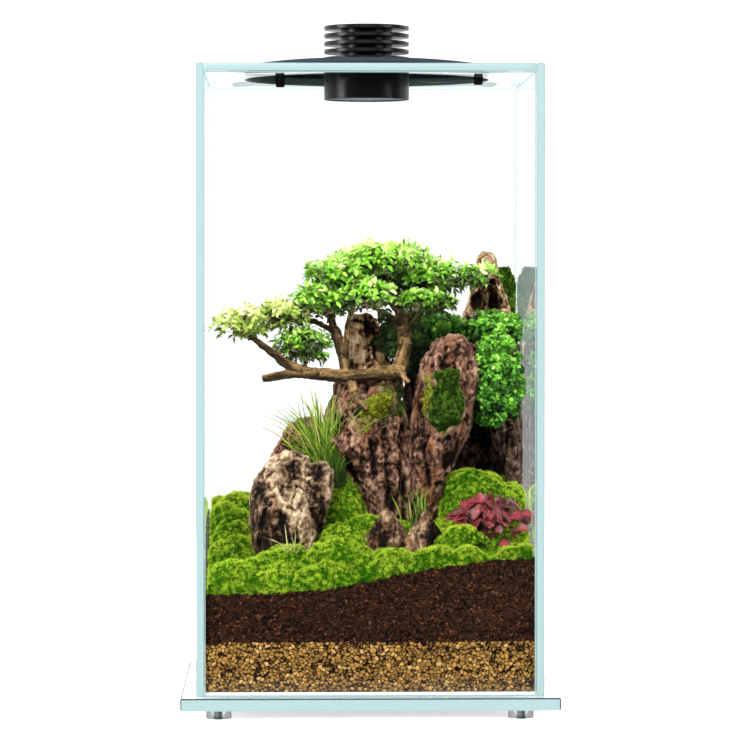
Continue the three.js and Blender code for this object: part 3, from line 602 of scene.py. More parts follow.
def leaf_skin(name, stops, roughness=0.38, rib=0.12):
    """A leaf: a waxy upper side with soft gloss and a paler midrib, thin enough to pass some light."""
    material, tree = blank(name)
    own, _, across = grown(tree)
    tone = add(tree, "ValToRGB", {"Fac": own}, stops)
    edge = add(tree, "Math", {0: across}, operation="ABSOLUTE")
    midrib = add(tree, "ValToRGB", {"Fac": edge}, [(0.0, (rib, rib, rib, 1)), (0.3, BLACK)])
    ribbed = add(tree, "Mix", {"Factor": midrib, FIRST: tone, SECOND: "E6F2B4"}, **COLOURS)
    skin = add(tree, "BsdfPrincipled", {
        "Base Color": ribbed, "Roughness": roughness, "IOR": 1.45, "Specular IOR Level": 0.3})
    through = add(tree, "BsdfTranslucent", {"Color": tone})
    return surfaced(material, add(tree, "MixShader", {0: PASSES, 1: skin, 2: through}))


def moss_fibre(name, depth, tip, old):
    """Moss leaflets: bright, nearly matt tips that pass light, over dark and shaded feet."""
    material, tree = blank(name)
    age, height, _ = grown(tree)
    young = add(tree, "Mix", {"Factor": age, FIRST: toned(old), SECOND: toned(tip)}, **COLOURS)
    risen = add(tree, "Mix", {"Factor": height, FIRST: toned(depth), SECOND: young}, **COLOURS)
    skin = add(tree, "BsdfPrincipled", {
        "Base Color": risen, "Roughness": 0.62, "Specular IOR Level": 0.04})
    through = add(tree, "BsdfTranslucent", {"Color": risen})
    return surfaced(material, add(tree, "MixShader", {0: PASSES, 1: skin, 2: through}))


def moss_ground(name, middle):
    """Felt of old moss stems under the sprigs: dark green-brown and quite matt."""
    return plain_finish(name, middle, 0.95, 0.0, grain_mm=1.6, bump_mm=0.7, shade=0.25)


def netted_leaf(veins, mesh_mm=1.5):
    """Leaf of the red plant: dark red, covered by a pink net of veins that leaves a dark green border."""
    material, tree = blank("Leaf skin with a pink net of veins")
    own, _, across = grown(tree)
    place = add(tree, "TexCoord", out="Object")
    net = add(tree, "TexVoronoi", {"Vector": place, "Scale": 1 / (mesh_mm * MM)},
              out="Distance", feature="DISTANCE_TO_EDGE")
    vein = add(tree, "ValToRGB", {"Fac": net}, [(0.04, WHITE), (0.15, BLACK)])
    edge = add(tree, "Math", {0: across}, operation="ABSOLUTE")
    inner = add(tree, "ValToRGB", {"Fac": edge}, [
        (0.0, WHITE), (0.12, (0.75, 0.75, 0.75, 1)), (0.72, (0.5, 0.5, 0.5, 1)), (1.0, BLACK)])
    lamina = add(tree, "ValToRGB", {"Fac": own}, [(0.0, "1E070A"), (0.5, "5A171E"), (1.0, "93303A")])
    border = add(tree, "Mix", {"Factor": inner, FIRST: "171A0B", SECOND: lamina}, **COLOURS)
    share = add(tree, "Math", {0: vein, 1: inner}, operation="MULTIPLY")
    netted = add(tree, "Mix", {"Factor": share, FIRST: border, SECOND: toned(veins)}, **COLOURS)
    relief = add(tree, "Bump", {"Height": net, "Distance": 0.25 * MM, "Strength": 0.7})
    skin = add(tree, "BsdfPrincipled", {
        "Base Color": netted, "Normal": relief, "Roughness": 0.42, "Specular IOR Level": 0.25})
    return surfaced(material, skin)


def polished_steel():
    """Stainless steel turned on a lathe and polished, with a painted reflection: upright stripes of bright
    and dark go round it.
    """
    material, tree = blank("Stainless steel, turned and polished")
    normal = add(tree, "NewGeometry", out="Normal")
    x, y, _ = add(tree, "SeparateXYZ", {"Vector": normal}).node.outputs
    angle = add(tree, "Math", {0: y, 1: x}, operation="ARCTAN2")
    turns = add(tree, "Math", {0: angle, 1: 2 / math.pi, 2: 4.0}, operation="MULTIPLY_ADD")
    share = add(tree, "Math", {0: turns}, operation="FRACT")
    painted_reflection_bands = add(tree, "ValToRGB", {"Fac": share}, [
        (0.0, "5C6062"), (0.14, "5C6062"), (0.24, "F4F6F6"), (0.7, "F4F6F6"), (0.8, "8A8F91"),
        (1.0, "8A8F91")])
    skin = add(tree, "BsdfPrincipled", {"Base Color": painted_reflection_bands, "Roughness": 0.14, "Metallic": 1.0})
    return surfaced(material, skin)


# ---------------------------------------------------------------- glass case and lamp

HOLE_RADIUS = 80.0
HOLE_SIDES = 128
SQUARE, ASLANT = 0.99, 0.3  # least share of a normal along one axis, on a flat face and on an arris


def glass_sheet(name, node, thin, arris, materials):
    """A sheet with ground arrises: its two wide faces are polished and its narrow ones cut."""
    low, high = node_box(node)
    shape = bmesh.new()
    bmesh.ops.create_cube(shape, size=1.0)
    for vertex in shape.verts:
        vertex.co = Vector((low + high) / 2 * MM) + Vector(np.array(vertex.co) * (high - low) * MM)
    bmesh.ops.bevel(shape, geom=shape.edges[:], offset=arris, segments=1, affect="EDGES")
    shape.normal_update()
    polished, cut, ground, lit = range(4)
    for face in shape.faces:
        squareness = max(abs(part) for part in face.normal)
        if abs(face.normal[thin]) > SQUARE:
            face.material_index = polished
        elif thin == 2 and face.normal[2] < -ASLANT:
            face.material_index = cut
        # painted light: the side panels' rear edges take the paler copy of the edge
        elif thin == 0 and face.normal[1] > ASLANT:
            face.material_index = lit
        else:
            face.material_index = ground if squareness < SQUARE else cut
    return piece(name, from_bmesh(name, shape), materials, "case_glass", node)


def glass_lid(arris, materials):
    """The lid: a sheet with a round hole for the lamp, its edges ground."""
    low, high = node_box("lid")
    half = (high - low)[:2] / 2
    turns = np.sort(np.concatenate([
        np.arange(HOLE_SIDES) * 2 * np.pi / HOLE_SIDES,
        [math.atan2(sy * half[1], sx * half[0]) % (2 * np.pi) for sx in (-1, 1) for sy in (-1, 1)]]))
    ray = np.stack([np.cos(turns), np.sin(turns)], axis=1)
    reach = 1 / np.max(np.abs(ray) / half, axis=1)
    width = arris / MM
    hole, mouth = ray * HOLE_RADIUS, ray * (HOLE_RADIUS + width)
    inset, side = ray * (reach - width)[:, None], ray * reach[:, None]
    sections = ((hole, low[2] + width), (mouth, low[2]), (inset, low[2]), (side, low[2] + width),
                (side, high[2] - width), (inset, high[2]), (mouth, high[2]), (hole, high[2] - width))
    rings = [np.column_stack([flat, np.full(len(flat), z)]) for flat, z in sections]
    polished, cut, ground, shade, lit = range(5)
    # painted shade on the hole's wall and its two arrises, for the saucer's shadow, and painted light on the
    # outer edges at the rear
    strips = (shade, polished, ground, cut, ground, polished, shade, shade)
    number = len(turns)
    at_rear = side[:, 1] > half[1] - 1.0
    quads, finishes = [], []
    for k, strip in enumerate(strips):
        following = (k + 1) % len(rings)
        for i in range(number):
            j = (i + 1) % number
            quads.append([k * number + i, k * number + j, following * number + j, following * number + i])
            rear = at_rear[i] and at_rear[j] and strip in (cut, ground)
            finishes.append(lit if rear else strip)
    mesh = new_mesh("glass_lid", np.vstack(rings), np.array(quads))
    mesh.polygons.foreach_set("material_index", np.array(finishes, dtype=np.int32))
    piece("glass_lid", mesh, materials, "case_glass", "lid")


class TERRARIUM_OT_case(bpy.types.Operator):
    """Builds the glass case: base plate, four panels and lid, and gives the silicone bead its finish"""
    bl_idname = "terrarium.case"
    bl_label = "Glass case"

    def execute(self, context):
        settings = context.scene.terrarium.case
        tint = settings.edge_tint
        face = float_glass()
        # copies of the cut edge that differ in painted light and shade: painted half shade on the side
        # panels' arrises, painted shade on the base's arris and round the lid's hole, and more painted light
        # on the edges at the rear
        cut, arris, dim, dark, pale = (
            cut_glass_edge(f"Float glass, {name}", gathered, base, painted_glow)
            for name, gathered, base, painted_glow in (
                ("ground edge", tint, 0.08, 0.655), ("arris", tint, 0.08, 0.55),
                ("arris in half shade", tint, 0.1, 0.34), ("arris in shade", tint, 0.03, 0.02),
                ("ground edge against the light", "E6F8F8", 0.1, 0.85)))
        # name, frame node, the axis that the sheet is thin along, its edge, its arris and how wide that is
        for name, node, thin, edge, corner, wider in (
                ("glass_base", "base_plate", 2, cut, dark, 1.9),
                ("glass_left", "panel_left", 0, cut, dim, 1.0),
                ("glass_right", "panel_right", 0, cut, dim, 1.0),
                ("glass_front", "panel_front", 1, cut, arris, 1.0),
                ("glass_back", "panel_back", 1, pale, pale, 1.0)):
            glass_sheet(name, node, thin, settings.arris * wider, [face, edge, corner, pale])
        glass_lid(settings.arris, [face, cut, arris, dark, pale])
        # neutral-cure silicone squeezed along the joint: milky and slightly glossy
        silicone = plain_finish("Silicone, tooled bead", "F2F6F6", 0.35, grain_mm=4.0, shade=0.95)
        NODES["silicone_bead"].data.materials.clear()
        NODES["silicone_bead"].data.materials.append(silicone)
        return {"FINISHED"}


class TERRARIUM_OT_feet(bpy.types.Operator):
    """Builds the four turned steel feet"""
    bl_idname = "terrarium.feet"
    bl_label = "Feet"

    def execute(self, context):
        chamfer = context.scene.terrarium.case.foot_chamfer / MM
        steel = polished_steel()
        for node in ("foot_front_left", "foot_front_right", "foot_back_left", "foot_back_right"):
            low, high = node_box(node)
            radius, top = (high - low)[0] / 2, high[2]
            mesh = turned(node, [
                (0, 0), (radius - chamfer, 0), (radius, chamfer), (radius, top - chamfer / 2),
                (radius - chamfer / 2, top), (0, top)], 64)
            middle = (low + high) / 2
            place_points(mesh, read_points(mesh) + [middle[0], middle[1], 0])
            piece(f"steel_{node}", mesh, [steel], "foot_metal", node)
        return {"FINISHED"}


# the lamp's turned parts, in millimetres
LAMP_CORE = 17.0  # radius between the fins
FIN_THICK = 2.6
FIN_PITCH = 5.15
FIN_COUNT = 4
FLANGE_THICK = 1.5
LAMP_WALL = 1.6
LENS_GAP = 0.3
LENS_RIB = 0.25  # height of the rings moulded in the lens
SAUCER_FLAT = 30.0  # radius inside which the saucer is flat
SAUCER_THICK = 1.5
SAUCER_RISE = 6.2
PEG_RING = 76.5  # radius of the circle that the pegs stand on
PEG_RADIUS = 3.0
PEG_TURNS = (13, 138, 258)  # where they stand on it, in degrees
PEG_SUNK = 1.5  # how far a peg reaches up into the saucer


class TERRARIUM_OT_lamp(bpy.types.Operator):
    """Builds the lamp: heat sink, body, lens and the saucer with its three pegs"""
    bl_idname = "terrarium.lamp"
    bl_label = "Lamp"

    def execute(self, context):
        settings = context.scene.terrarium.lamp
        chamfer = settings.chamfer / MM
        # aluminium turned, then anodised black: glossy, with faint machining rings
        anodised = plain_finish("Aluminium, turned and anodised black", settings.metal, 0.3, 0.22,
                                grain_mm=0.3, bump_mm=0.004, stretch=(0.06, 0.06, 1))
        # spun steel with satin powder coat: quite even, with no mirror in it
        satin = plain_finish("Steel, spun and satin powder coated", settings.saucer, 0.4, 0.0,
                             grain_mm=0.35, bump_mm=0.02)
        # the same coat on the upper side, with a painted reflection: the blue-grey that the room's light
        # gives it there
        lit_satin = plain_finish("Steel, spun and satin coated, upper side", "33373F", 0.4, 0.0,
                                 grain_mm=0.35, bump_mm=0.02)
        # acrylic moulded with a milky diffuser: smooth, grey-blue while unlit
        acrylic = plain_finish("Acrylic, moulded diffuser", settings.lens, 0.5, 0.1, grain_mm=3.0,
                               bump_mm=0.05, shade=0.8)

        low, high = node_box("lamp_heat_sink")
        outer, top = LAMP_RADIUS, low[2] + FLANGE_THICK
        fins = [(0, low[2]), (outer, low[2]), (outer, top), (LAMP_CORE, top)]
        for k in range(FIN_COUNT):
            over = top + FIN_PITCH * (k + 1)
            under = over - FIN_THICK
            fins += [(LAMP_CORE, under), (outer - chamfer, under), (outer, under + chamfer),
                     (outer, over - chamfer), (outer - chamfer, over),
                     (LAMP_CORE if k < FIN_COUNT - 1 else 0, over)]
        piece("lamp_fins", turned("lamp_fins", fins), [anodised], "lamp_metal", "lamp_heat_sink")

        low, high = node_box("lamp_body")
        mouth = outer - LAMP_WALL
        lens_low, lens_high = (corner[2] for corner in node_box("lamp_lens"))
        seat = lens_high + LENS_GAP
        body = [(mouth, low[2] + chamfer), (mouth + chamfer, low[2]), (outer - chamfer, low[2]),
                (outer, low[2] + chamfer), (outer, high[2]), (0, high[2]), (0, seat), (mouth, seat),
                (mouth, low[2] + chamfer)]
        piece("lamp_cup", turned("lamp_cup", body), [anodised], "lamp_metal", "lamp_body")
        rings = [(0, lens_low), *((mouth * k / 12.5, lens_low + LENS_RIB * (k % 2)) for k in range(1, 12)),
                 (mouth - LENS_GAP, lens_low), (mouth - LENS_GAP, lens_high), (0, lens_high)]
        piece("lamp_diffuser", turned("lamp_diffuser", rings, sharp=60), [acrylic], "lens", "lamp_lens")

        low, high = node_box("lamp_saucer")
        rim = (high - low)[0] / 2
        radii = [0, 12, 24, *np.linspace(SAUCER_FLAT, rim - 0.6, 12)]
        drop = [SAUCER_RISE * (max(r - SAUCER_FLAT, 0) / (rim - SAUCER_FLAT)) ** 2 for r in radii]
        over = [(r, high[2] - d) for r, d in zip(radii, drop)]
        edge = high[2] - SAUCER_RISE
        under = [(r, z - SAUCER_THICK) for r, z in reversed(over)]
        saucer = [*over, (rim, edge - 0.5), (rim, edge - 1.0), *under]
        shapes = [turned("saucer", saucer, 160, 40)]
        for degrees in PEG_TURNS:
            turn = math.radians(degrees)
            peg = turned("peg", [(0, low[2]), (PEG_RADIUS - 0.5, low[2]), (PEG_RADIUS, low[2] + 0.5),
                                 (PEG_RADIUS, edge + PEG_SUNK), (0, edge + PEG_SUNK)], 32)
            place_points(peg, read_points(peg) + [PEG_RING * math.cos(turn), PEG_RING * math.sin(turn), 0])
            shapes.append(peg)
        whole = bmesh.new()
        for shape in shapes:
            whole.from_mesh(shape)
        whole.normal_update()
        for face in whole.faces:
            face.material_index = int(face.normal[2] > 0.7)
        piece("lamp_saucer_plate", from_bmesh("lamp_saucer_plate", whole, 30), [satin, lit_satin],
              "lamp_metal", "lamp_saucer")
        return {"FINISHED"}


# ---------------------------------------------------------------- gravel and soil

def side_line(points, side, highest):
    """Height of a bed's upper or lower edge along one of its sides, as a function of the distance along."""
    axis, sign = side
    reach = points[:, axis] * sign
    on_side = points[reach > reach.max() - 0.05]
    along = np.round(on_side[:, 1 - axis], 1)
    stations, heights = [], []
    for station in np.unique(along):
        column = on_side[along == station, 2]
        if np.ptp(column) > 5.0:
            stations.append(station)
            heights.append(column.max() if highest else column.min())
    return lambda value: np.interp(value, stations, heights)


SIDES = {"front": (1, -1), "right": (0, 1), "back": (1, 1), "left": (0, -1)}

CORNER = 0.3  # how far a side's granules stop short of the next panel
CLEAR = 0.25  # least distance between a granule and its panel
DEEPEST, CORE_IN = 1.1, 1.4  # how deep gaps go and how far in the core starts, in grains
BURIED = 0.14  # share of the granules that lie a little behind the others

# name, frame node, size of the squares it is cut into, seed, and how far it reaches past the node
# at its lower and its upper edge
BEDS = (
    ("gravel", "gravel_bed", 0.42, 11, 0.0, 0.9),
    ("soil", "soil_bed", 0.47, 23, 1.3, 1.6),
)


def granules(name, node, fineness, seed, under, over, grain, material):
    """Granules packed against the four panels, over a core that fills the rest of the bed."""
    points = read_points(NODES[node].data)
    for number, (side, (axis, sign)) in enumerate(SIDES.items()):
        top, bottom = (side_line(points, (axis, sign), highest) for highest in (True, False))
        along = np.linspace(CORNER - WALL, WALL - CORNER, int(2 * WALL / fineness))
        uneven = rough(np.outer(along, [1, 1, 1]), 5.0, seed + 60 + number, 3)
        low, high = bottom(along) + 0.1 - under, top(along) + over * (1 + uneven)
        share = np.linspace(0, 1, int((high - low).max() / fineness))
        places = np.zeros((len(share), len(along), 3))
        places[:, :, 1 - axis] = along
        places[:, :, axis] = sign * WALL
        places[:, :, 2] = low + (high - low) * share[:, None]
        places = places.reshape(-1, 3)

        cell = np.array([1.0, 1.0, 0.9]) * grain
        cell[axis] = 1.8 * grain
        bend = np.stack([rough(places, grain * 0.8, seed + k, 2) for k in (1, 2, 3)], axis=1)
        near, second, own, tilt = flakes(places + 0.22 * grain * bend, cell, seed + 7 * number)
        gap = np.clip(1 - (second - near) * 4.2, 0, 1)
        sunk = (own * 7.3 % 1 < BURIED) * 0.35
        # depth behind the panel: gaps between the granules, their round sides, tilted faces, sunk ones
        depth = grain * (0.55 * gap ** 1.4 + 0.3 * near ** 2 + 0.8 * np.clip(tilt + 0.12, 0, 1) + sunk)
        depth += 0.05 * grain * rough(places, grain * 0.3, seed + 5, 2)
        places[:, axis] -= sign * (CLEAR + np.clip(depth, 0, grain * DEEPEST))

        rows = np.arange(len(share) - 1)[:, None] * len(along)
        k = np.arange(len(along) - 1)[None]
        quads = np.stack([rows + k, rows + k + 1, rows + len(along) + k + 1, rows + len(along) + k], axis=-1)
        if side in ("left", "back"):
            quads = quads[:, :, ::-1]
        mesh = new_mesh(f"{name}_{side}", places, quads.reshape(-1, 4))
        # each granule's own shade, and how deep a point lies in a gap or on a sunk granule, which the
        # material paints as shade
        give(mesh, np.column_stack([own * 3.7 % 1, np.clip(1.15 * gap + 1.2 * sunk, 0, 1), own]))
        piece(f"{name}_{side}", mesh, [material], name, node)

    core = points.copy()
    inside = WALL - grain * CORE_IN
    core[:, :2] = np.clip(core[:, :2], -inside, inside)
    mesh = NODES[node].data.copy()
    mesh.materials.clear()
    place_points(mesh, core)
    # painted shade: the core counts as deep in a gap, so it is dark all over
    give(mesh, np.tile([0.0, 1.0, 0.0], (len(core), 1)))
    piece(f"{name}_core", mesh, [material], name, node)


class TERRARIUM_OT_beds(bpy.types.Operator):
    """Fills the case with layers of gravel and soil granules"""
    bl_idname = "terrarium.beds"
    bl_label = "Gravel and soil"

    def execute(self, context):
        settings = context.scene.terrarium.beds
        gravel, soil = settings.gravel_grain / MM, settings.soil_grain / MM
        skins = (
            (gravel, granule_skin("Clay gravel, baked and sieved", settings.gravel, gravel, "D9B478")),
            (soil, granule_skin("Soil granules, baked", settings.soil, soil, "74492E")),
        )
        for bed, (grain, skin) in zip(BEDS, skins):
            granules(*bed, grain, skin)
        return {"FINISHED"}


BY_GLASS = 4.5  # how near to a panel moss would show below the soil's edge


def above_soil(points, margin):
    """Which points are clear of the glass, or higher than the soil's upper edge there."""
    soil = read_points(NODES["soil_bed"].data)
    clear = np.full(len(points), True)
    for axis, sign in SIDES.values():
        top = side_line(soil, (axis, sign), True)
        by_glass = points[:, axis] * sign > WALL - BY_GLASS
        clear &= ~by_glass | (points[:, 2] > top(points[:, 1 - axis]) + margin)
    return clear


# ---------------------------------------------------------------- stones

# name, frame node, material, flute and chip depth against the usual, chip width, swelling, seed
STONES = (
    ("centre_rock", "stone_centre", "red", 1.0, 1.1, 5.5, 1.0, 131),
    ("column_rock", "stone_column", "red", 0.9, 1.1, 5.0, 1.0, 162),
    ("ledge_rock", "stone_ledge", "purple", 0.9, 1.0, 6.0, 0.0, 193),
    ("slope_rock", "stone_left_slope", "pink", 0.7, 1.4, 6.0, 0.5, 224),
    ("right_rock", "stone_right", "purple", 1.0, 1.0, 6.0, 0.0, 255),
    ("peak_rock", "stone_peak", "ochre", 0.8, 1.1, 4.0, 2.6, 286),
    ("spire_rock", "stone_spire", "sand", 0.7, 0.8, 6.0, 0.5, 317),
    ("front_rock", "stone_front_left", "grey", 0.9, 0.7, 6.0, 0.5, 348),
    ("small_rock_left", "small_stone_left", "brown", 0.12, 0.45, 5.0, 0.8, 379),
    ("small_rock_right", "small_stone_right", "brown", 0.12, 0.45, 5.0, 0.8, 412),
)

# name, dark, middle, light and stain colour, and how long its streaks are along x, y and z
STONE_SKINS = {
    "red": ("Ironstone, weathered red-brown", "24140E", "6E4C3C", "B8937A", "8A5632", (6.0, 6.0, 14.0)),
    "pink": ("Shale, split salmon-pink", "3A211B", "A5705C", "D9AE9A", "8A5240", (4.0, 4.0, 16.0)),
    # partly painted shade: the slate is darker than its own colour, for the deep shadow right of the column
    # and round the ledge
    "purple": ("Slate, weathered purple-brown", "140C0B", "4A3530", "8C7262", "6E5234", (6.0, 6.0, 16.0)),
    "sand": ("Sandstone, weathered and hollowed", "3A2416", "B8946A", "FAE6C4", "B87C3E", (3.5, 3.5, 18.0)),
    "ochre": ("Petrified wood, ochre-grained", "38241A", "B48A62", "F6DEB8", "C08238", (2.2, 2.2, 26.0)),
    "grey": ("Limestone, hollowed and pale-edged", "2B1D15", "84694F", "E0C8A4", "64432C", (6.0, 6.0, 10.0)),
    "brown": ("Chert, split", "241810", "6E523C", "C6A684", "7E4C2C", (4.0, 4.0, 7.0)),
}

# flat faces of the split stones: the way each one looks and its distance, in a box from -1 to 1
FACETS = {
    "small_rock_left": ((-0.8, -0.45, 0.45, 0.4), (0.35, -0.85, 0.3, 0.42), (0.75, -0.1, 0.65, 0.42),
                        (-0.5, 0.5, 0.7, 0.5), (0.0, -0.7, 0.75, 0.5)),
    "small_rock_right": ((-0.55, -0.7, 0.4, 0.34), (0.75, -0.6, 0.15, 0.44), (0.65, 0.1, 0.75, 0.52),
                         (-0.7, 0.5, 0.5, 0.55)),
}

# hollows worn into a stone's front: x, z, half width, half height and depth
HOLLOWS = {
    "front_rock": ((-51, 150, 8, 13, 6), (-67, 116, 3, 16, 5), (-59, 108, 2.5, 12, 5), (-46, 106, 3, 14, 5),
                   (-34, 122, 3, 10, 4), (-71, 140, 3, 8, 3), (-39, 140, 2.5, 10, 3.5), (-57, 128, 6, 4, 3)),
    "centre_rock": ((-9, 150, 7, 17, 9), (4, 166, 3, 24, 4.5), (14, 150, 2.5, 20, 5), (23, 160, 2.5, 26, 5),
                    (9, 192, 5, 6, 3), (-20, 184, 3, 10, 3)),
    "column_rock": ((36, 196, 3, 26, 5), (58, 229, 5, 4, 3.5), (50, 236, 4, 3, 2.5), (66, 222, 4, 5, 2.5),
                    (40, 158, 3, 16, 5), (51, 165, 3, 12, 5), (66, 190, 2.5, 22, 3), (32, 170, 2.5, 18, 4)),
    "slope_rock": ((-30, 160, 2.5, 18, 3), (-44, 158, 2.5, 12, 3)),
    "spire_rock": ((77, 263, 4.5, 8, 10), (89, 262, 5, 7, 10), (84, 272, 3.5, 5, 6)),
    "peak_rock": ((1, 244, 2, 22, 4), (-6, 226, 1.6, 12, 3)),
    "ledge_rock": ((45, 150, 20, 25, 6),),
}

# places where a stone is paler or darker: x, z, half width, half height and by how much
TONE_PATCHES = {
    "front_rock": ((-50, 152, 15, 16, 0.2), (-46, 128, 9, 14, 0.18), (-70, 124, 9, 28, -0.28),
                   (-32, 134, 6, 22, -0.25), (-58, 104, 20, 8, -0.15)),
    "spire_rock": ((80, 292, 14, 12, 0.3), (84, 262, 12, 12, -0.15)),
    "peak_rock": ((-4, 232, 7, 14, 0.15), (6, 250, 6, 22, -0.2), (-9, 252, 5, 20, 0.12)),
    "column_rock": ((52, 242, 12, 9, 0.12), (36, 178, 8, 26, -0.1), (56, 168, 10, 12, -0.12)),
    "small_rock_left": ((4, 114, 8, 16, -0.3), (20, 116, 6, 12, 0.1)),
    "small_rock_right": ((44, 112, 7, 16, -0.35), (30, 112, 8, 12, 0.12)),
    "centre_rock": ((10, 182, 8, 22, -0.1), (-12, 160, 10, 20, 0.05), (22, 128, 9, 16, -0.15)),
}


def split_flat(points, low, high, facets):
    """The points of a stone cut to a few flat faces, as a hammer leaves them, in the same box."""
    middle, half = (low + high) / 2, (high - low) / 2
    spokes = (points - middle) / half
    reach = np.ones(len(points))
    for *way, distance in facets:
        share = spokes @ unit(np.array(way))
        reach = np.minimum(reach, np.where(share > 0.05, distance / np.maximum(share, 0.05), 1.0))
    cut = spokes * reach[:, None]
    return middle + half * [1.25, 1.0, 1.1] * (2 * (cut - cut.min(axis=0)) / np.ptp(cut, axis=0) - 1)


def oval_patch(points, x, z, wide, high):
    """Squared distance from the middle of an upright oval, seen from the front: 1 at its rim."""
    return ((points[:, 0] - x) / wide) ** 2 + ((points[:, 2] - z) / high) ** 2


def carved_stone(name, node, finish, flute, chip, chip_width, swell, seed, settings):
    """A stone with lumps, flutes weathered up its sides, flaked steps, hollows, pits and fine grit."""
    mesh = remeshed(name, NODES[node].data, settings.detail / MM, 4)
    if name in FACETS:
        place_points(mesh, split_flat(read_points(mesh), *node_box(node), FACETS[name]))
    points, normals = read_points(mesh), read_points(mesh, "normal")
    bent = points + 3.0 * np.stack([rough(points, 12.0, seed + k, 3) for k in (1, 2, 3)], axis=1)
    lumps = rough(points, (14.0, 14.0, 20.0), seed + 20, 3)
    flutes = ridged(bent, (10.0, 10.0, 40.0), seed + 4, 2)
    veins = ridged(bent, (3.4, 3.4, 9.0), seed + 8, 3)
    chip_box = np.array([chip_width, chip_width, chip_width * 1.6])
    near, second, own, tilt = flakes(bent, chip_box, seed + 12)
    fine_own, fine_tilt = flakes(bent, chip_box * 0.42, seed + 14)[2:]
    grit = rough(points, 1.9, seed + 16, 3)
    pits = np.clip(rough(points, (4.0, 4.0, 6.0), seed + 24, 2) - 0.36, 0, 1)
    depth = flute * settings.flute_depth / MM
    groove = np.clip((0.46 - flutes) / 0.46, 0, 1)
    chipped = chip * settings.chip_depth / MM * (
        0.5 * (own - 0.5) + 1.3 * tilt + 0.9 * fine_tilt + 0.3 * (fine_own - 0.5))
    crests = ridged(bent, (2.6, 2.6, 4.5), seed + 30, 2)
    edge = np.clip(1 - (second - near) * 5, 0, 1)
    crack = np.clip(1 - 7 * np.abs(waves(bent, np.array([9.0, 9.0, 24.0]), seed + 60)), 0, 1)
    crack *= np.clip(0.8 + 1.6 * waves(points, 14.0, seed + 61), 0, 1) * min(1, 2 * flute)
    pits *= min(1, 3 * flute)
    hollow = np.zeros(len(points))
    front = np.clip(-normals[:, 1] * 2, 0, 1)
    for *oval, deep in HOLLOWS.get(name, ()):
        hollow += deep * front * np.clip(1.15 - oval_patch(bent, *oval), 0, 1) ** 0.7
    paler = np.zeros(len(points))
    for *oval, amount in TONE_PATCHES.get(name, ()):
        paler += amount * np.clip(1.4 - oval_patch(bent, *oval), 0, 1)
    # lumps swell the stone, grooves, pits and cracks cut in, and veins, chips, crests and grit roughen it
    push = (swell + 0.75 * depth * lumps - 0.9 * depth * groove + 0.45 * depth * (veins - 0.45) + chipped
            - 0.35 * chip * edge + 0.5 * grit + 0.8 * chip * (crests - 0.5) - 2.6 * pits - 1.6 * crack)
    placed = points + normals * push[:, None] + np.outer(hollow, [0, 1, 0])
    place_points(mesh, behind_glass(placed, 0.3))
    # the same things again as a tone, with painted shade: dark in what is cut in, pale on what stands out
    tone_and_painted_shading = (0.6 - 0.4 * groove + 0.5 * (veins - 0.45) + 0.4 * grit - 1.2 * pits - 0.15 * edge * min(chip, 1)
            + 0.12 * (own - 0.5) + 0.5 * tilt + 0.15 * lumps + 0.5 * chip * (crests - 0.5) - 0.05 * hollow
            - 0.5 * crack + paler)
    give(mesh, np.column_stack([np.clip(tone_and_painted_shading, 0, 1), own, second - near]))
    piece(name, mesh, [finish], NODE_SLOTS[node], node)


class TERRARIUM_OT_stones(bpy.types.Operator):
    """Carves the weathered stones"""
    bl_idname = "terrarium.stones"
    bl_label = "Stones"

    def execute(self, context):
        settings = context.scene.terrarium.stones
        finishes = {kind: weathered_stone(*skin) for kind, skin in STONE_SKINS.items()}
        for name, node, kind, *shape in STONES:
            carved_stone(name, node, finishes[kind], *shape, settings)
        return {"FINISHED"}


# ---------------------------------------------------------------- moss

def sprig_star(leaflets, rise, width):
    """A star of pointed leaflets, each one triangle, standing up from its middle."""
    points, faces, along = [], [], []
    for k in range(leaflets):
        turn = 2 * math.pi * k / leaflets
        out = np.array([math.cos(turn), math.sin(turn), 0.0])
        side = np.array([-math.sin(turn), math.cos(turn), 0.0]) * width / 2
        lift = rise * (1.25 if k % 2 else 0.75)
        start = len(points)
        points += [out * 0.1 - side, out * 0.1 + side, out * (0.85 if k % 2 else 1.0) + UP * lift]
        along += [0.2, 0.2, 1.0]
        faces.append([start, start + 1, start + 2])
    points += [UP * 0.1 + [0.22, 0, 0], UP * 0.1 + [-0.12, 0.2, 0], UP * 1.15]
    faces.append([len(points) - 3, len(points) - 2, len(points) - 1])
    along += [0.2, 0.2, 1.0]
    return (np.array(points), np.array(faces)), np.array(along)


def knolls(points, knoll, seed):
    """How high moss stands on its knolls, from about -1 in the creases to 1 on the tops."""
    near, second = flakes(points + 2.5 * rough(points, 9.0, seed, 2)[:, None], knoll, seed + 2)[:2]
    crease = np.clip(1 - (second - near) * 3.0, 0, 1)
    return 0.9 - 1.5 * near ** 2 - 0.7 * crease


LEAN = 0.35  # how far sprigs lean at random, against how firmly they stand out from the moss
LEAFLET_STAR = sprig_star(6, 0.8, 0.34)
MOST_FACES = 180000  # faces in one piece of sprigs, so that it stays small enough to handle


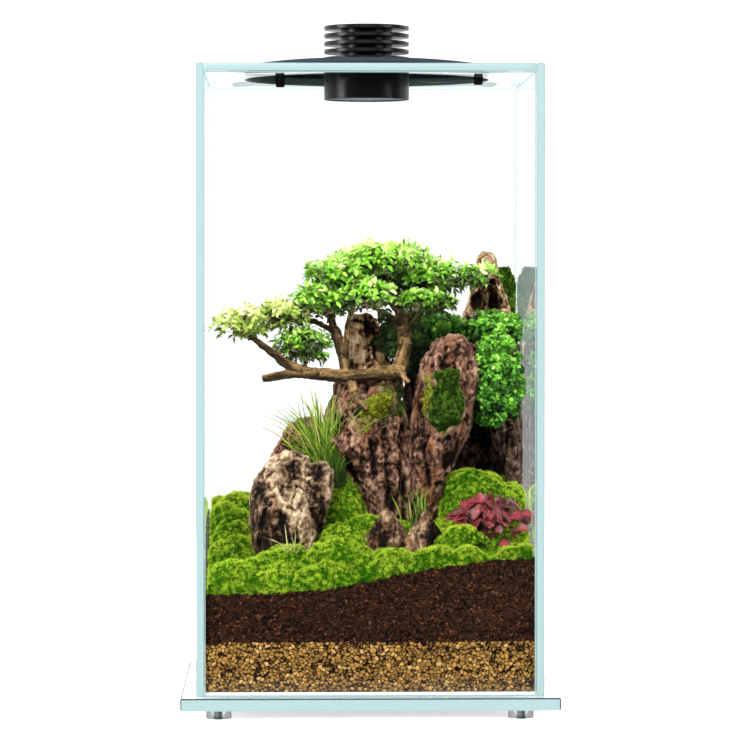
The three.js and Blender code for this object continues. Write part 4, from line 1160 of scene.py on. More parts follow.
def sprigged(name, mesh, finish, slot, spacing, size, seed, knoll, keep):
    """Sprigs of moss over a mesh, in pieces that stay small enough to handle."""
    random = np.random.default_rng(seed)
    template, along = LEAFLET_STAR
    points, triangles = read_points(mesh), read_triangles(mesh)
    places, normals = sampled(points, triangles, lambda area: int(area / spacing ** 2), random, keep)
    clear = above_soil(places, 1.0)
    places, normals = places[clear], normals[clear]
    out = unit(normals + LEAN * random.normal(size=normals.shape) + 0.35 * UP)
    # sprigs stand in small clumps, each of its own shade, and are sunk between them; painted shade darkens
    # them between the clumps and in the knolls' creases, and painted light makes the knolls' tops paler
    near, second, own = flakes(places, 1.7 * size, seed + 70)[:3]
    gap = np.clip(1 - (second - near) * 2.4, 0, 1)
    patch = rough(places, 11.0, seed, 3)
    scale = size * (0.7 + 0.6 * random.random(len(places))) * (1 + 0.22 * patch)
    copies, faces = scattered(template, places - out * size * (0.2 + 0.55 * gap)[:, None],
                              spun_axes(out, random), scale)
    high = knolls(places, knoll, seed - 9)
    shade = np.clip(0.84 + 0.35 * patch + 0.35 * high + 0.7 * (own - 0.5)
                    + 0.22 * random.normal(size=len(places)), 0, 1)
    at_glass = np.clip(1 - (WALL - np.abs(places[:, :2]).max(axis=1)) / 6.0, 0, 1)
    risen = np.clip(1.2 + 0.4 * high - 0.2 * at_glass ** 2 - 0.85 * gap
                    + 0.12 * random.normal(size=len(places)), 0.1, 1)
    values = np.column_stack([np.repeat(shade, len(along)), np.outer(risen, along).ravel(),
                              np.zeros(len(copies))])
    copies = behind_glass(copies, 0.2)
    most = MOST_FACES // len(template[1]) * len(template[1])
    for part, first in enumerate(range(0, len(faces), most)):
        chosen = faces[first:first + most]
        start, end = chosen.min(), chosen.max() + 1
        whole = new_mesh(f"{name}_{part + 1}", copies[start:end], chosen - start)
        give(whole, values[start:end])
        piece(f"{name}_{part + 1}", whole, [finish], slot)


ROLL = 9.0  # the moss rolls down to the soil over this distance from the glass

# banks of moss piled against the stones: x, y, radius and height
BANKS = ((-56, -70, 27, 11), (-88, -86, 18, 5), (-20, -84, 20, 5), (10, -92, 18, 4), (-90, -40, 18, 4),
         (84, -86, 22, -8), (-12, 12, 24, 20))


def not_under(centre, normal):
    """Keeps sprigs off the underside of a bed of moss."""
    return normal[:, 2] > -0.3


def mossy(name, node, voxel, coat, slot, seed, knoll, swell, size=1.0, spacing=1.0, keep=not_under,
          roll=0.0, ragged=0.0, shape=None):
    """A bed of moss: swelling knolls with creases between them, under a coat of sprigs."""
    settings = bpy.context.scene.terrarium.moss
    ground, fibre = coat
    mesh = remeshed(f"{name}_felt", NODES[node].data, voxel, 6)
    points, normals = read_points(mesh), read_points(mesh, "normal")
    if shape is not None:
        points = shape(points)
    upward = np.clip(normals[:, 2] * 1.6 + 0.5, 0, 1)
    push = swell * (knolls(points, knoll, seed) + 0.14 * knolls(points, knoll * 0.4, seed + 40)) * upward
    push += 0.5 * rough(points, 4.0, seed + 6, 2)
    if ragged:
        for axis in (0, 2):
            points[:, axis] += ragged * rough(points, 7.0, seed + 50 + axis, 3)
    from_glass = np.clip((ROLL - WALL + np.max(np.abs(points[:, :2]), axis=1)) / ROLL, 0, 1)
    points = points + normals * push[:, None]
    if roll:
        for x, y, radius, height in BANKS:
            share = np.clip(1 - ((points[:, 0] - x) ** 2 + (points[:, 1] - y) ** 2) / radius ** 2, 0, 1)
            points[:, 2] += height * share * upward * (3 - share) / 2
    points[:, 2] -= roll * (1 - np.sqrt(1 - 0.98 * from_glass ** 2))
    place_points(mesh, behind_glass(points, 2.4 if roll else 0.35))
    piece(f"{name}_felt", mesh, [ground], slot, node)
    sprigged(f"{name}_sprigs", mesh, fibre, slot, settings.spacing / MM * spacing,
             settings.sprig / MM * size, seed + 9, knoll, keep)


# sprigs that creep over a stone round a patch: name, stone, fibre, slot, x and z, half sizes, tilt, seed
CREEPING = (
    ("column_fringe", "column_rock", "dark", "dark_moss", (50, 200), (12, 20), 0, 431),
    ("column_edge", "column_rock", "yellow", "yellow_moss", (40, 202), (3.5, 15), 0, 432),
    ("centre_streak", "centre_rock", "yellow", "yellow_moss", (5, 193), (18, 6), 45, 433),
    ("centre_fringe", "centre_rock", "dark", "dark_moss", (16, 200), (10, 12), 30, 434),
)


def within(middle, half, turn, seed):
    """What keeps sprigs to a turned, ragged oval on a stone's front."""
    def keep(centre, normal):
        x, z = centre[:, 0] - middle[0], centre[:, 2] - middle[1]
        along = (x * math.cos(turn) + z * math.sin(turn)) / half[0]
        across = (z * math.cos(turn) - x * math.sin(turn)) / half[1]
        ragged = 1 + 0.9 * rough(centre, 7.0, seed, 3)
        return (along ** 2 + across ** 2 < ragged) & (normal[:, 1] < 0.3)
    return keep


def squared_top(points):
    """The slab's top drawn out to its full width, against the side panel."""
    middle, highest = 93.0, 288.0
    share = np.clip((points[:, 2] - 235) / 50, 0, 1)
    wide = 1 + 1.1 * share ** 1.5
    high = points[:, 2] + 16 * share ** 2 * np.clip(np.abs(points[:, 0] - middle) / 8, 0, 1) ** 2
    return np.column_stack([middle + (points[:, 0] - middle) * wide, points[:, 1],
                            np.minimum(high, highest)])


def squared_patch(points):
    """The patch's oval drawn out towards its corners."""
    middle, half = np.array([52.0, 200.5]), np.array([9.0, 19.5])
    flat = (points[:, [0, 2]] - middle) / half
    reach = np.linalg.norm(flat, axis=1) / np.maximum(np.abs(flat).max(axis=1), 1e-6)
    flat = flat * (reach ** 0.7)[:, None] * half + middle
    return np.column_stack([flat[:, 0], points[:, 1], flat[:, 1]])


def thinned(points):
    """The streak drawn out along its slope and thinned across it."""
    middle = np.array([6.0, 196.0])
    flat = points[:, [0, 2]] - middle
    root = math.sqrt(2)
    along, across = (flat[:, 0] + flat[:, 1]) / root * 1.05, (flat[:, 1] - flat[:, 0]) / root * 0.5
    return np.column_stack([middle[0] + (along - across) / root, points[:, 1],
                            middle[1] + (along + across) / root])


class TERRARIUM_OT_moss(bpy.types.Operator):
    """Grows the moss carpet, the cushions and the patches on the stones"""
    bl_idname = "terrarium.moss"
    bl_label = "Moss"

    def execute(self, context):
        settings = context.scene.terrarium.moss
        # felt, then the sprigs' depth, tips and old leaflets
        kinds = {
            "bright": (shaded(settings.depth, 1.6), settings.depth, settings.tip, "9CE424"),
            "dark": ("1A2A0A", "101E06", "7CA838", "335A1C"),
            "shaded": ("22400C", "16300A", "A6D84C", "4E8C22"),
            "yellow": ("4C500F", "39400A", "E2E84A", "98A828"),
        }
        coats = {kind: (moss_ground(f"Moss felt, {kind}", felt), moss_fibre(f"Moss sprigs, {kind}", *sprigs))
                 for kind, (felt, *sprigs) in kinds.items()}
        mossy("carpet", "moss_carpet", 1.3, coats["bright"], "moss_green", 301, 34.0, 4.0, roll=8.5,
              keep=lambda centre, normal: normal[:, 2] > -0.1)
        mossy("cushion", "moss_cushion", 1.0, coats["bright"], "moss_green", 331, 24.0, 2.4, 0.9, 0.9)
        mossy("stone_moss", "moss_patch", 0.8, coats["dark"], "dark_moss", 351, 8.0, 0.6, 0.8, 0.8,
              ragged=4.5, shape=squared_patch)
        mossy("slope_moss", "moss_streak", 0.8, coats["yellow"], "yellow_moss", 371, 8.0, 0.6, 0.75, 0.9,
              ragged=3.5, shape=thinned)
        for name, stone, kind, slot, middle, half, tilt, seed in CREEPING:
            sprigged(name, bpy.data.meshes[stone], coats[kind][1], slot, 1.2, 1.5, seed, 8.0,
                     within(middle, half, math.radians(tilt), seed))
        mossy("slab_moss", "mossed_slab", 1.2, coats["shaded"], "dark_moss", 391, 9.0, 1.2, 0.9, 0.95,
              shape=squared_top, keep=lambda centre, normal: (centre[:, 2] > 120) & (centre[:, 1] < 100))
        return {"FINISHED"}


# ---------------------------------------------------------------- tree

# Limbs as stations of x, y, z and radius: the same course as the frame's wood.
LIMBS = (
    # level branch, from the right trunk to its cut end on the left
    ((24, -11, 217, 4.6), (8, -14, 217.5, 4.5), (-12, -15, 215.5, 4.2), (-31, -15, 217, 4),
     (-50, -15, 217, 3), (-68.5, -15, 213.5, 2.3)),
    # rising branch to the far left crown
    ((-36, -15, 217, 3.6), (-50, -15, 222, 3.3), (-60, -16, 229, 2.8), (-69, -17, 236, 2.2),
     (-79, -19, 243, 1.5)),
    # left trunk and the thin one beside it
    ((-13, -14, 214, 3.6), (-16, -11, 229, 3.3), (-19, -9, 240, 3.4), (-23, -7, 252, 2.6),
     (-21, -5, 266, 1.9), (-18, -4, 278, 1.3)),
    ((-14, -12, 228, 1.7), (-13, -9, 245, 1.7), (-9, -6, 262, 1.4), (0, -2, 280, 1.1)),
    # right trunk and its long branch to the right
    ((15, -8, 213, 4.4), (22, -5, 222, 4.6), (25, -3, 236, 4.3), (24, -1, 249, 3.8),
     (20, 0, 262, 2.8), (14, 0, 275, 2), (12, 1, 284, 1.2)),
    ((24, -1, 248, 2.8), (34, 2, 263, 2.2), (44, 4, 272, 1.7), (58, 5, 278, 1.2), (70, 5, 280, 0.9)),
    # roots that hang over the stone
    ((-11, -15, 214, 3), (-8.6, -18, 205, 2.6), (-5, -21, 199, 2.2), (0, -22, 193, 1.9)),
    ((17, -13, 220, 1.8), (23, -16, 216, 1.6), (27, -19, 211, 1.4)),
    # side twigs, each to one pad of leaves
    ((-20, -8, 243, 1.8), (-31, -10, 250, 1.4), (-42, -12, 252, 1.1), (-52, -14, 252, 0.9)),
    ((-40, -14, 219, 1.5), (-42, -12, 229, 1)),
    ((22, -4, 250, 1.8), (10, -14, 257, 1.4), (0, -19, 263, 1)),
    ((25, -3, 243, 1.8), (32, -7, 252, 1.4), (37, -9, 258, 1)),
    ((-22, -7, 250, 1.6), (-28, -8, 258, 1.1)),
    ((20, 0, 258, 1.8), (14, 14, 266, 1.3), (8, 22, 270, 1)),
)


def limb_grain(points):
    """Places in a frame that follows the limbs, so that fissures run along them."""
    starts = np.vstack([np.array(limb)[:-1, :3] for limb in LIMBS])
    ends = np.vstack([np.array(limb)[1:, :3] for limb in LIMBS])
    line = ends - starts
    reach = np.linalg.norm(line, axis=1)
    best = np.full(len(points), 1e9)
    grain = np.zeros_like(points)
    for k in range(len(starts)):
        ahead = line[k] / reach[k]
        share = np.clip((points - starts[k]) @ ahead, 0, reach[k])
        away = points - starts[k] - share[:, None] * ahead
        distance = np.linalg.norm(away, axis=1)
        closer = distance < best
        along = (points @ ahead)[:, None] * ahead
        grain[closer] = (along / 10.0 + (points - along) / 2.0)[closer]
        best = np.minimum(best, distance)
    return grain


class TERRARIUM_OT_tree(bpy.types.Operator):
    """Builds the tree's trunks, branches and hanging roots"""
    bl_idname = "terrarium.tree"
    bl_label = "Tree wood"

    def execute(self, context):
        random = np.random.default_rng(5)
        shape = bmesh.new()
        shape.from_mesh(new_mesh("limbs", *merged(tube_along(limb, 12, 6, 0.16, random) for limb in LIMBS)))
        bmesh.ops.holes_fill(shape, edges=shape.edges[:], sides=0)
        mesh = remeshed("tree_bark", from_bmesh("limbs_closed", shape), 0.5, 3)
        points, normals = read_points(mesh), read_points(mesh, "normal")
        grain = limb_grain(points)
        fissure = np.clip((ridged(grain * 1.7, 1.0, 40, 3) - 0.55) / 0.45, 0, 1)
        plates = rough(grain, 1.3, 45, 3)
        knots = rough(points, 6.0, 48, 3)
        place_points(mesh, points + normals * (0.45 * plates + 0.9 * knots - 0.6 * fissure + 0.25)[:, None])
        # tone: pale plates, and fissures dark partly by their own colour and partly as painted shade; painted
        # light makes faces that look up paler
        tone_and_painted_shading = np.clip(0.28 + 0.5 * plates - 0.55 * fissure + 0.42 * normals[:, 2], 0, 1)
        give(mesh, np.column_stack([tone_and_painted_shading, fissure, plates]))
        bark = fissured_bark(context.scene.terrarium.tree.bark)
        piece("tree_bark", mesh, [bark], "bark", "tree_wood")
        return {"FINISHED"}


def blade_template(rows, fold, curl):
    """A leaf blade of unit length and width: points, triangles, and where each lies on the blade."""
    points, spots = [[0, 0, 0]], [[0.0, 0.0]]
    for along, half in rows:
        bend = -curl * along ** 2
        for across in (-1, 0, 1):
            points.append([across * half, along, bend + fold * half * abs(across)])
            spots.append([along, across * 1.0])
    points.append([0, 1.0, -curl])
    spots.append([1.0, 0.0])
    faces = [[0, 2, 1], [0, 3, 2]]
    for k in range(len(rows) - 1):
        a, b = 1 + 3 * k, 4 + 3 * k
        faces += [[a, a + 1, b + 1], [a, b + 1, b], [a + 1, a + 2, b + 2], [a + 1, b + 2, b + 1]]
    a, end = 1 + 3 * (len(rows) - 1), len(points) - 1
    faces += [[a, a + 1, end], [a + 1, a + 2, end]]
    return (np.array(points, dtype=float), np.array(faces)), np.array(spots)


OVAL_LEAF = blade_template(((0.15, 0.09), (0.4, 0.19), (0.66, 0.19), (0.87, 0.1)), 0.3, 0.24)
BROAD_LEAF = blade_template(((0.12, 0.18), (0.35, 0.35), (0.62, 0.34), (0.86, 0.18)), 0.25, 0.34)
SMALL_LEAF = blade_template(((0.28, 0.3), (0.72, 0.34)), 0.2, 0.2)

# frame node of each pad of leaves, how many rosettes it has against the usual, its leaf material, how much
# paler it is, which is painted light and shade with the top pads paler and the low and back pads darker, and
# how far its twigs reach against the node
PADS = (
    ("leaf_pad_top", 1.15, "green", 0.04, 1.04), ("leaf_pad_top_left", 1.2, "green", 0.02, 1.06),
    ("leaf_pad_right", 1.15, "green", 0.0, 1.0), ("leaf_pad_right_tip", 0.55, "green", 0.0, 0.95),
    ("leaf_pad_left", 1.1, "green", -0.1, 1.14), ("leaf_pad_front", 1.1, "green", -0.08, 1.0),
    ("leaf_pad_right_low", 1.1, "green", -0.22, 1.05), ("leaf_pad_back", 1.1, "green", -0.25, 1.0),
    ("leaf_pad_outer_left", 0.9, "young", -0.02, 1.0), ("leaf_pad_far_left", 0.8, "young", 0.02, 1.0),
    ("leaf_pad_low", 1.0, "green", -0.16, 1.3),
)


def leafy_mesh(name, leaf, places, along, face, sizes, shade):
    """A mesh of many leaves, each with its shade and its own spots for the material."""
    template, spots = leaf
    copies, faces = scattered(template, places, axes_from(along, face), sizes)
    mesh = new_mesh(name, behind_glass(copies), faces)
    mesh.shade_smooth()
    give(mesh, np.column_stack([np.repeat(shade, len(spots)), np.tile(spots[:, 0], len(places)),
                                np.tile(spots[:, 1], len(places))]))
    return mesh


def twig_mesh(name, hub, ends, thick, random):
    """Fine twigs that spread from a hub to the rosettes."""
    parts = []
    for end in ends:
        middle = hub + (end - hub) * 0.5 + random.normal(size=3) * [2.0, 2.0, 1.2] - [0, 0, 1.5]
        start = hub + random.normal(size=3) * [2.5, 2.0, 1.0]
        parts.append(tube_along([(*start, thick), (*middle, thick * 0.8), (*end, thick * 0.5)], 4, 3))
    points, faces = merged(parts)
    mesh = new_mesh(name, points, faces)
    mesh.shade_smooth()
    give(mesh, np.tile([0.45, 0.0, 0.0], (len(points), 1)))
    return mesh


ROSETTE = 7  # leaves in a rosette
SPIRAL = 2.4  # turn from one leaf to the next, in radians
OUTER = 0.62  # share of the rosettes that lie on a pad's outside
EVENED = 1.6  # power that gives an ellipsoid's area from its half sizes


class TERRARIUM_OT_crown(bpy.types.Operator):
    """Dresses the tree with rosettes of small leaves on fine twigs"""
    bl_idname = "terrarium.crown"
    bl_label = "Tree crown"

    def execute(self, context):
        settings = context.scene.terrarium.tree
        top = settings.leaf_top
        # each ramp runs from painted shade to painted light, as well as through each leaf's own tone
        skins = {
            "green": leaf_skin("Leaf skin, waxy green", [
                (0.0, shaded(top, 0.04)), (0.3, shaded(top, 0.22)), (0.55, top), (0.8, "ACDC50"),
                (1.0, "EAF9AA")], 0.3),
            "young": leaf_skin("Leaf skin, young yellow-green", [
                (0.0, "1E2C08"), (0.3, "6E8A2C"), (0.62, "BCCE62"), (1.0, "F6FABC")], 0.3),
        }
        slots = {"green": "leaf_green", "young": "young_green"}
        twig = fissured_bark("A08272")
        size, gap = settings.leaf / MM, settings.rosette_gap / MM
        for number, (node, dense, kind, paler, spread) in enumerate(PADS):
            random = np.random.default_rng(500 + number)
            low, high = node_box(node)
            centre, half = (low + high) / 2, ((high - low) / 2 - [2.0, 2.0, 1.0]) * spread
            faces = [(half[i] * half[j]) ** EVENED for i, j in ((0, 1), (0, 2), (1, 2))]
            area = 4 * np.pi * np.mean(faces) ** (1 / EVENED)
            rosettes = int(dense * 1.25 * area / gap ** 2)
            out = unit(random.normal(size=(rosettes, 3)) + [0, 0, 0.35])
            depth = np.where(random.random(rosettes) < OUTER, 0.82 + 0.2 * random.random(rosettes),
                             0.3 + 0.5 * random.random(rosettes))
            ends = centre + out * half * depth[:, None] * (1 + 0.12 * random.normal(size=(rosettes, 1)))

            heart = np.repeat(ends, ROSETTE, axis=0)
            aim = np.repeat(unit(out * [0.8, 0.8, 0.5] + [0, 0, 0.55]), ROSETTE, axis=0)
            ring = spun_axes(unit(aim + 0.3 * random.normal(size=aim.shape)), random)
            turn = np.tile(np.arange(ROSETTE) * SPIRAL, rosettes) + random.random(len(heart)) * 0.8
            outward = np.cos(turn)[:, None] * ring[:, 0] + np.sin(turn)[:, None] * ring[:, 1]
            rise = np.tile(np.linspace(0.15, 1.3, ROSETTE), rosettes)[:, None]
            along = unit(outward + ring[:, 2] * rise * 0.8)
            face = unit(ring[:, 2] + 0.4 * random.normal(size=along.shape) + [0, -0.3, 0.35])
            sizes = size * (0.72 + 0.42 * random.random((len(heart), 1))) * np.ones((1, 3))
            own = np.repeat(random.normal(size=rosettes) * 0.1, ROSETTE)
            # painted light and shade: rosettes high up and on the pad's outside are paler, those inside it
            # darker
            lit = np.repeat(0.27 + paler + 0.56 * out[:, 2] * depth + 0.62 * (depth - 0.6), ROSETTE)
            shade = np.clip(lit + own + 0.17 * random.normal(size=len(heart)), 0.02, 0.98)

            pad = node.removeprefix("leaf_pad_")
            mesh = leafy_mesh(f"leaves_{pad}", OVAL_LEAF, heart + along * 0.6, along, face, sizes, shade)
            piece(f"leaves_{pad}", mesh, [skins[kind]], slots[kind], node)
            hub = centre - [0, 0, half[2] * 0.55]
            twigs = twig_mesh(f"twigs_{pad}", hub, ends[::2], 0.42, random)
            piece(f"twigs_{pad}", twigs, [twig], "bark")
        return {"FINISHED"}


# ---------------------------------------------------------------- creepers, grasses, red plant

LEAFLETS = 34  # leaflets in a clump of creeper

# frame node, density, leaf material, and how the clumps are shifted and stretched against the node's box
CREEPERS = (
    ("creeper_ledge_left", 1.1, "bright", (0, -1, -1), (1.0, 1.0, 0.95)),
    ("creeper_ledge_right", 1.1, "bright", (0, -2, -1.5), (1.0, 1.0, 1.05)),
    ("creeper_hanging", 1.2, "bright", (-2, -1, 1), (1.1, 1.1, 1.02)),
    ("dark_tuft", 1.1, "dark", (-7, 2, 7), (1.5, 0.8, 1.9)),
)


class TERRARIUM_OT_creepers(bpy.types.Operator):
    """Grows the small-leaved creepers over the ledge and down the right stone"""
    bl_idname = "terrarium.creepers"
    bl_label = "Creepers"

    def execute(self, context):
        size = context.scene.terrarium.plants.frond / MM
        skins = {
            "bright": leaf_skin("Creeper leaf, bright", [
                (0.0, "0A1A05"), (0.4, "2E7014"), (0.75, "74BC30"), (1.0, "B4E664")], 0.45, rib=0.05),
            "dark": leaf_skin("Creeper leaf, dark", [(0.0, "0E1A08"), (0.5, "2A451A"), (1.0, "5E8430")], 0.5),
        }
        for number, (node, dense, kind, drift, spread) in enumerate(CREEPERS):
            random = np.random.default_rng(700 + number)
            low, high = node_box(node)
            centre, half = (low + high) / 2 + drift, (high - low) / 2 * spread
            area = 4 * np.pi * np.mean([half[0] * half[1], half[0] * half[2], half[1] * half[2]])
            clumps = int(dense * area / size ** 2)
            out = unit(random.normal(size=(clumps, 3)) + [0, -0.25, 0.25])
            hearts = centre + out * half * (0.62 + 0.46 * random.random((clumps, 1)))
            heart, aim = np.repeat(hearts, LEAFLETS, axis=0), np.repeat(out, LEAFLETS, axis=0)
            dome = unit(0.8 * random.normal(size=heart.shape) + aim)
            reach = size * (0.3 + 0.4 * random.random((len(heart), 1)))
            roots = heart + dome * reach * [1, 1, 0.8]
            along = unit(np.cross(dome, random.normal(size=dome.shape)) + 0.5 * dome)
            face = unit(dome + [0, -0.3, 0.45] + 0.35 * random.normal(size=dome.shape))
            leaf_size = size * 0.52 * (0.65 + 0.6 * random.random((len(heart), 1))) * np.ones((1, 3))
            tone = np.repeat(0.12 * random.normal(size=clumps), LEAFLETS)
            # painted light and shade: leaflets that face up or stand far out of their clump are paler, those
            # low or deep in it darker
            shade = np.clip(0.42 + tone + 0.28 * dome[:, 2] + 0.9 * (reach[:, 0] / size - 0.5)
                            + 0.12 * random.normal(size=len(heart)), 0, 1)
            mesh = leafy_mesh(f"fronds_{node}", SMALL_LEAF, roots, along, face, leaf_size, shade)
            piece(f"fronds_{node}", mesh, [skins[kind]], "creeper_green", node)
        return {"FINISHED"}


# name, frame node, foot, number of blades, shortest and longest, lean, slot
GRASSES = (
    ("grass_blades", "grass_tuft", (-27, -12, 142), 340, (30, 74), 0.8, "grass_green"),
    ("small_grass_blades", "small_grass", (30, -45, 106), 34, (20, 56), 0.6, "grass_green"),
    ("pale_grass_blades", "pale_grass", (-50, -74, 98), 18, (12, 30), 0.95, "pale_grass"),
)


STATIONS = 9  # places along a blade where its width is set
ACROSS = (-1, 0, 1)  # left edge, fold and right edge of a blade
DRY, DRY_SHADE = 0.14, 0.95  # share of dry blades, and the shade that makes them so
USUAL_TALL = 74  # a tuft whose longest blades have this length has a foot of the usual width


def grass_blade(random, foot, reach, lean, width):
    """One folded blade that arches outwards: its three lines of points and their values."""
    turn = random.random() * 2 * math.pi
    out = np.array([1.25 * math.cos(turn), 0.5 * math.sin(turn) - 0.15, 0.0])
    tall = reach[0] + (reach[1] - reach[0]) * random.random() ** 1.2
    tip_lean = lean * (0.1 + 0.9 * random.random() ** 1.3)
    side = unit(np.cross(out * tip_lean + UP, random.normal(size=3) * [0.5, 0.35, 0.3] - [0, 1, 0]))
    steps = np.linspace(0, 1, STATIONS)
    rise = tall * steps * (1 - 0.42 * tip_lean * steps ** 1.5)
    run = tall * tip_lean * 0.72 * steps ** 1.7
    line = (np.array(foot) + random.normal(size=3) * (reach[1] / USUAL_TALL) * [4.5, 2.6, 0.6]
            + out * (1 + run)[:, None] + UP * rise[:, None])
    half = width * (0.6 + 0.5 * random.random()) * np.minimum(1, 3.2 * (1.02 - steps)) ** 0.8
    lift = np.cross(side, unit(out + UP))
    points = [line + side * (across * half)[:, None] + lift * (abs(across) * 0.35 * half)[:, None]
              for across in ACROSS]
    shade = random.choice([0.25 + 0.5 * random.random(), DRY_SHADE], p=[1 - DRY, DRY])
    # painted shade: each blade is darker towards its foot
    values = [np.column_stack([
        shade * np.minimum(1, 0.1 + 1.3 * steps), steps, np.full(STATIONS, float(across))])
        for across in ACROSS]
    return np.vstack(points), np.vstack(values)


class TERRARIUM_OT_grasses(bpy.types.Operator):
    """Grows the grasses: folded blades that arch outwards, some of them dry"""
    bl_idname = "terrarium.grasses"
    bl_label = "Grasses"

    def execute(self, context):
        width = context.scene.terrarium.plants.blade_width / MM
        fresh = leaf_skin("Grass blade, fresh and dry", [
            (0.0, "0C1C04"), (0.4, "456A12"), (0.8, "A8C43C"), (0.9, "BFA268"), (1.0, "CFB47A")], 0.42,
            rib=0.05)
        straw = leaf_skin("Grass blade, straw", [(0.0, "6E6A2C"), (0.5, "A8B25A"), (1.0, "E0D49A")], 0.5,
                          rib=0.2)
        a = np.add.outer(np.arange(len(ACROSS) - 1) * STATIONS, np.arange(STATIONS - 1)).ravel()
        quads = np.stack([a, a + STATIONS, a + STATIONS + 1, a + 1], axis=1)
        for number, (name, node, foot, blades, reach, lean, slot) in enumerate(GRASSES):
            random = np.random.default_rng(800 + number)
            skin, narrow = (straw, 0.6) if slot == "pale_grass" else (fresh, 1.0)
            made = [grass_blade(random, foot, reach, lean, width / 2 * narrow) for _ in range(blades)]
            points, faces = merged((points, quads) for points, _ in made)
            mesh = new_mesh(name, behind_glass(points), faces)
            mesh.shade_smooth()
            give(mesh, np.vstack([values for _, values in made]))
            piece(name, mesh, [skin], slot, node)
        return {"FINISHED"}


RED_LEAVES = 92
RED_DOME = (29, 16, 29)  # half sizes of the dome that the red leaves lie on
RED_TILT = 28  # how far the dome leans to the front, in degrees


class TERRARIUM_OT_red_plant(bpy.types.Operator):
    """Grows the low plant with red, net-veined leaves"""
    bl_idname = "terrarium.red_plant"
    bl_label = "Red-leaved plant"

    def execute(self, context):
        settings = context.scene.terrarium.plants
        random = np.random.default_rng(900)
        low, high = node_box("red_leaved_plant")
        foot = np.array([(low + high)[0] / 2 + 1, -61.0, 108.0])
        k = np.arange(RED_LEAVES)
        away = np.sqrt((k + 0.4) / RED_LEAVES)
        turn = SPIRAL * k + random.random(RED_LEAVES) * 0.6
        out = np.column_stack([np.cos(turn), np.sin(turn), np.zeros(RED_LEAVES)])
        flat, rise = out * away[:, None], np.sqrt(1.02 - away ** 2)
        tilt = math.radians(RED_TILT)
        dome = np.column_stack([flat[:, 0], flat[:, 1] * math.cos(tilt) - rise * math.sin(tilt),
                                flat[:, 1] * math.sin(tilt) + rise * math.cos(tilt)])
        deep = np.where(k % 4 == 1, 0.72, 1.0)[:, None]
        centre = foot + dome * deep * RED_DOME
        centre += random.normal(size=centre.shape) * [1.6, 2.0, 1.6]
        along = unit(out * [1, 0.4, 0] + [0, -0.3, -0.25] + 0.45 * random.normal(size=out.shape))
        face = unit(out * 0.3 + [0, -0.7, 0.7] + 0.35 * random.normal(size=out.shape))
        sizes = settings.red_leaf / MM * (0.72 + 0.4 * random.random((RED_LEAVES, 1))) * np.ones((1, 3))
        roots = centre - along * sizes[:, :1] * 0.45
        # painted shade: the leaves of the inner layer are made nearly black
        shade = np.clip(0.5 - 2 * (1 - deep[:, 0]) + 0.25 * random.normal(size=RED_LEAVES), 0, 1)
        mesh = leafy_mesh("red_leaves", BROAD_LEAF, roots, along, face, sizes, shade)
        piece("red_leaves", mesh, [netted_leaf(settings.veins)], "red_leaf", "red_leaved_plant")
        points, faces = merged(tube_along([
            (*(foot + random.normal(size=3) * 1.5), 0.6),
            (*(foot * 0.5 + root * 0.5 + [0, 2, 1]), 0.45), (*root, 0.35)], 5, 3) for root in roots)
        stem_mesh = new_mesh("red_stems", points, faces)
        stem_mesh.shade_smooth()
        give(stem_mesh, np.tile([0.4, 0.5, 0.5], (len(points), 1)))
        stem_skin = leaf_skin("Stem skin, pink-green", [(0.0, "3C3A1C"), (1.0, "B0837A")])
        piece("red_stems", stem_mesh, [stem_skin], "red_leaf")
        return {"FINISHED"}


# ---------------------------------------------------------------- stage

CASE_FRONT = -0.12
FLOOR_BLACK = -0.4  # where the floor before the case starts to show in mirrors
CAMERA_AT = (-0.0558, -2.476, 0.2745)
CAMERA_AIM = (0.00284, -0.110, 0.2184)


# name, place, what it points at, width, height and power against the key light's
MIDDLE = (0.0, 0.0, 0.2)
STUDIO_LIGHTS = (
    ("Key", (-0.5, -1.15, 1.35), MIDDLE, 0.6, 0.5, 1.0),
    ("Front", (0.1, -2.3, 1.25), (0.0, 0.0, 0.12), 1.8, 1.0, 0.3),
    ("Left", (-1.7, -0.5, 0.5), MIDDLE, 0.5, 1.2, 0.55),
    ("Right", (1.6, -1.0, 0.9), MIDDLE, 0.7, 1.0, 0.3),
    ("Back", (0.3, 1.5, 1.3), MIDDLE, 1.0, 0.6, 0.5),
)


def pointed(thing, at, aim):
    """Puts a light or the camera in its place, turned to what it points at."""
    thing.location = at
    thing.rotation_euler = (Vector(aim) - Vector(at)).to_track_quat("-Z", "Y").to_euler()
    bpy.context.scene.collection.objects.link(thing)
    return thing


def soft_box(name, at, aim, wide, tall, power):
    """A rectangular studio light that points from one place to another."""
    data = bpy.data.lights.new(name, "AREA")
    data.shape = "RECTANGLE"
    data.size, data.size_y = wide, tall
    data.energy = power
    pointed(bpy.data.objects.new(name, data), at, aim)


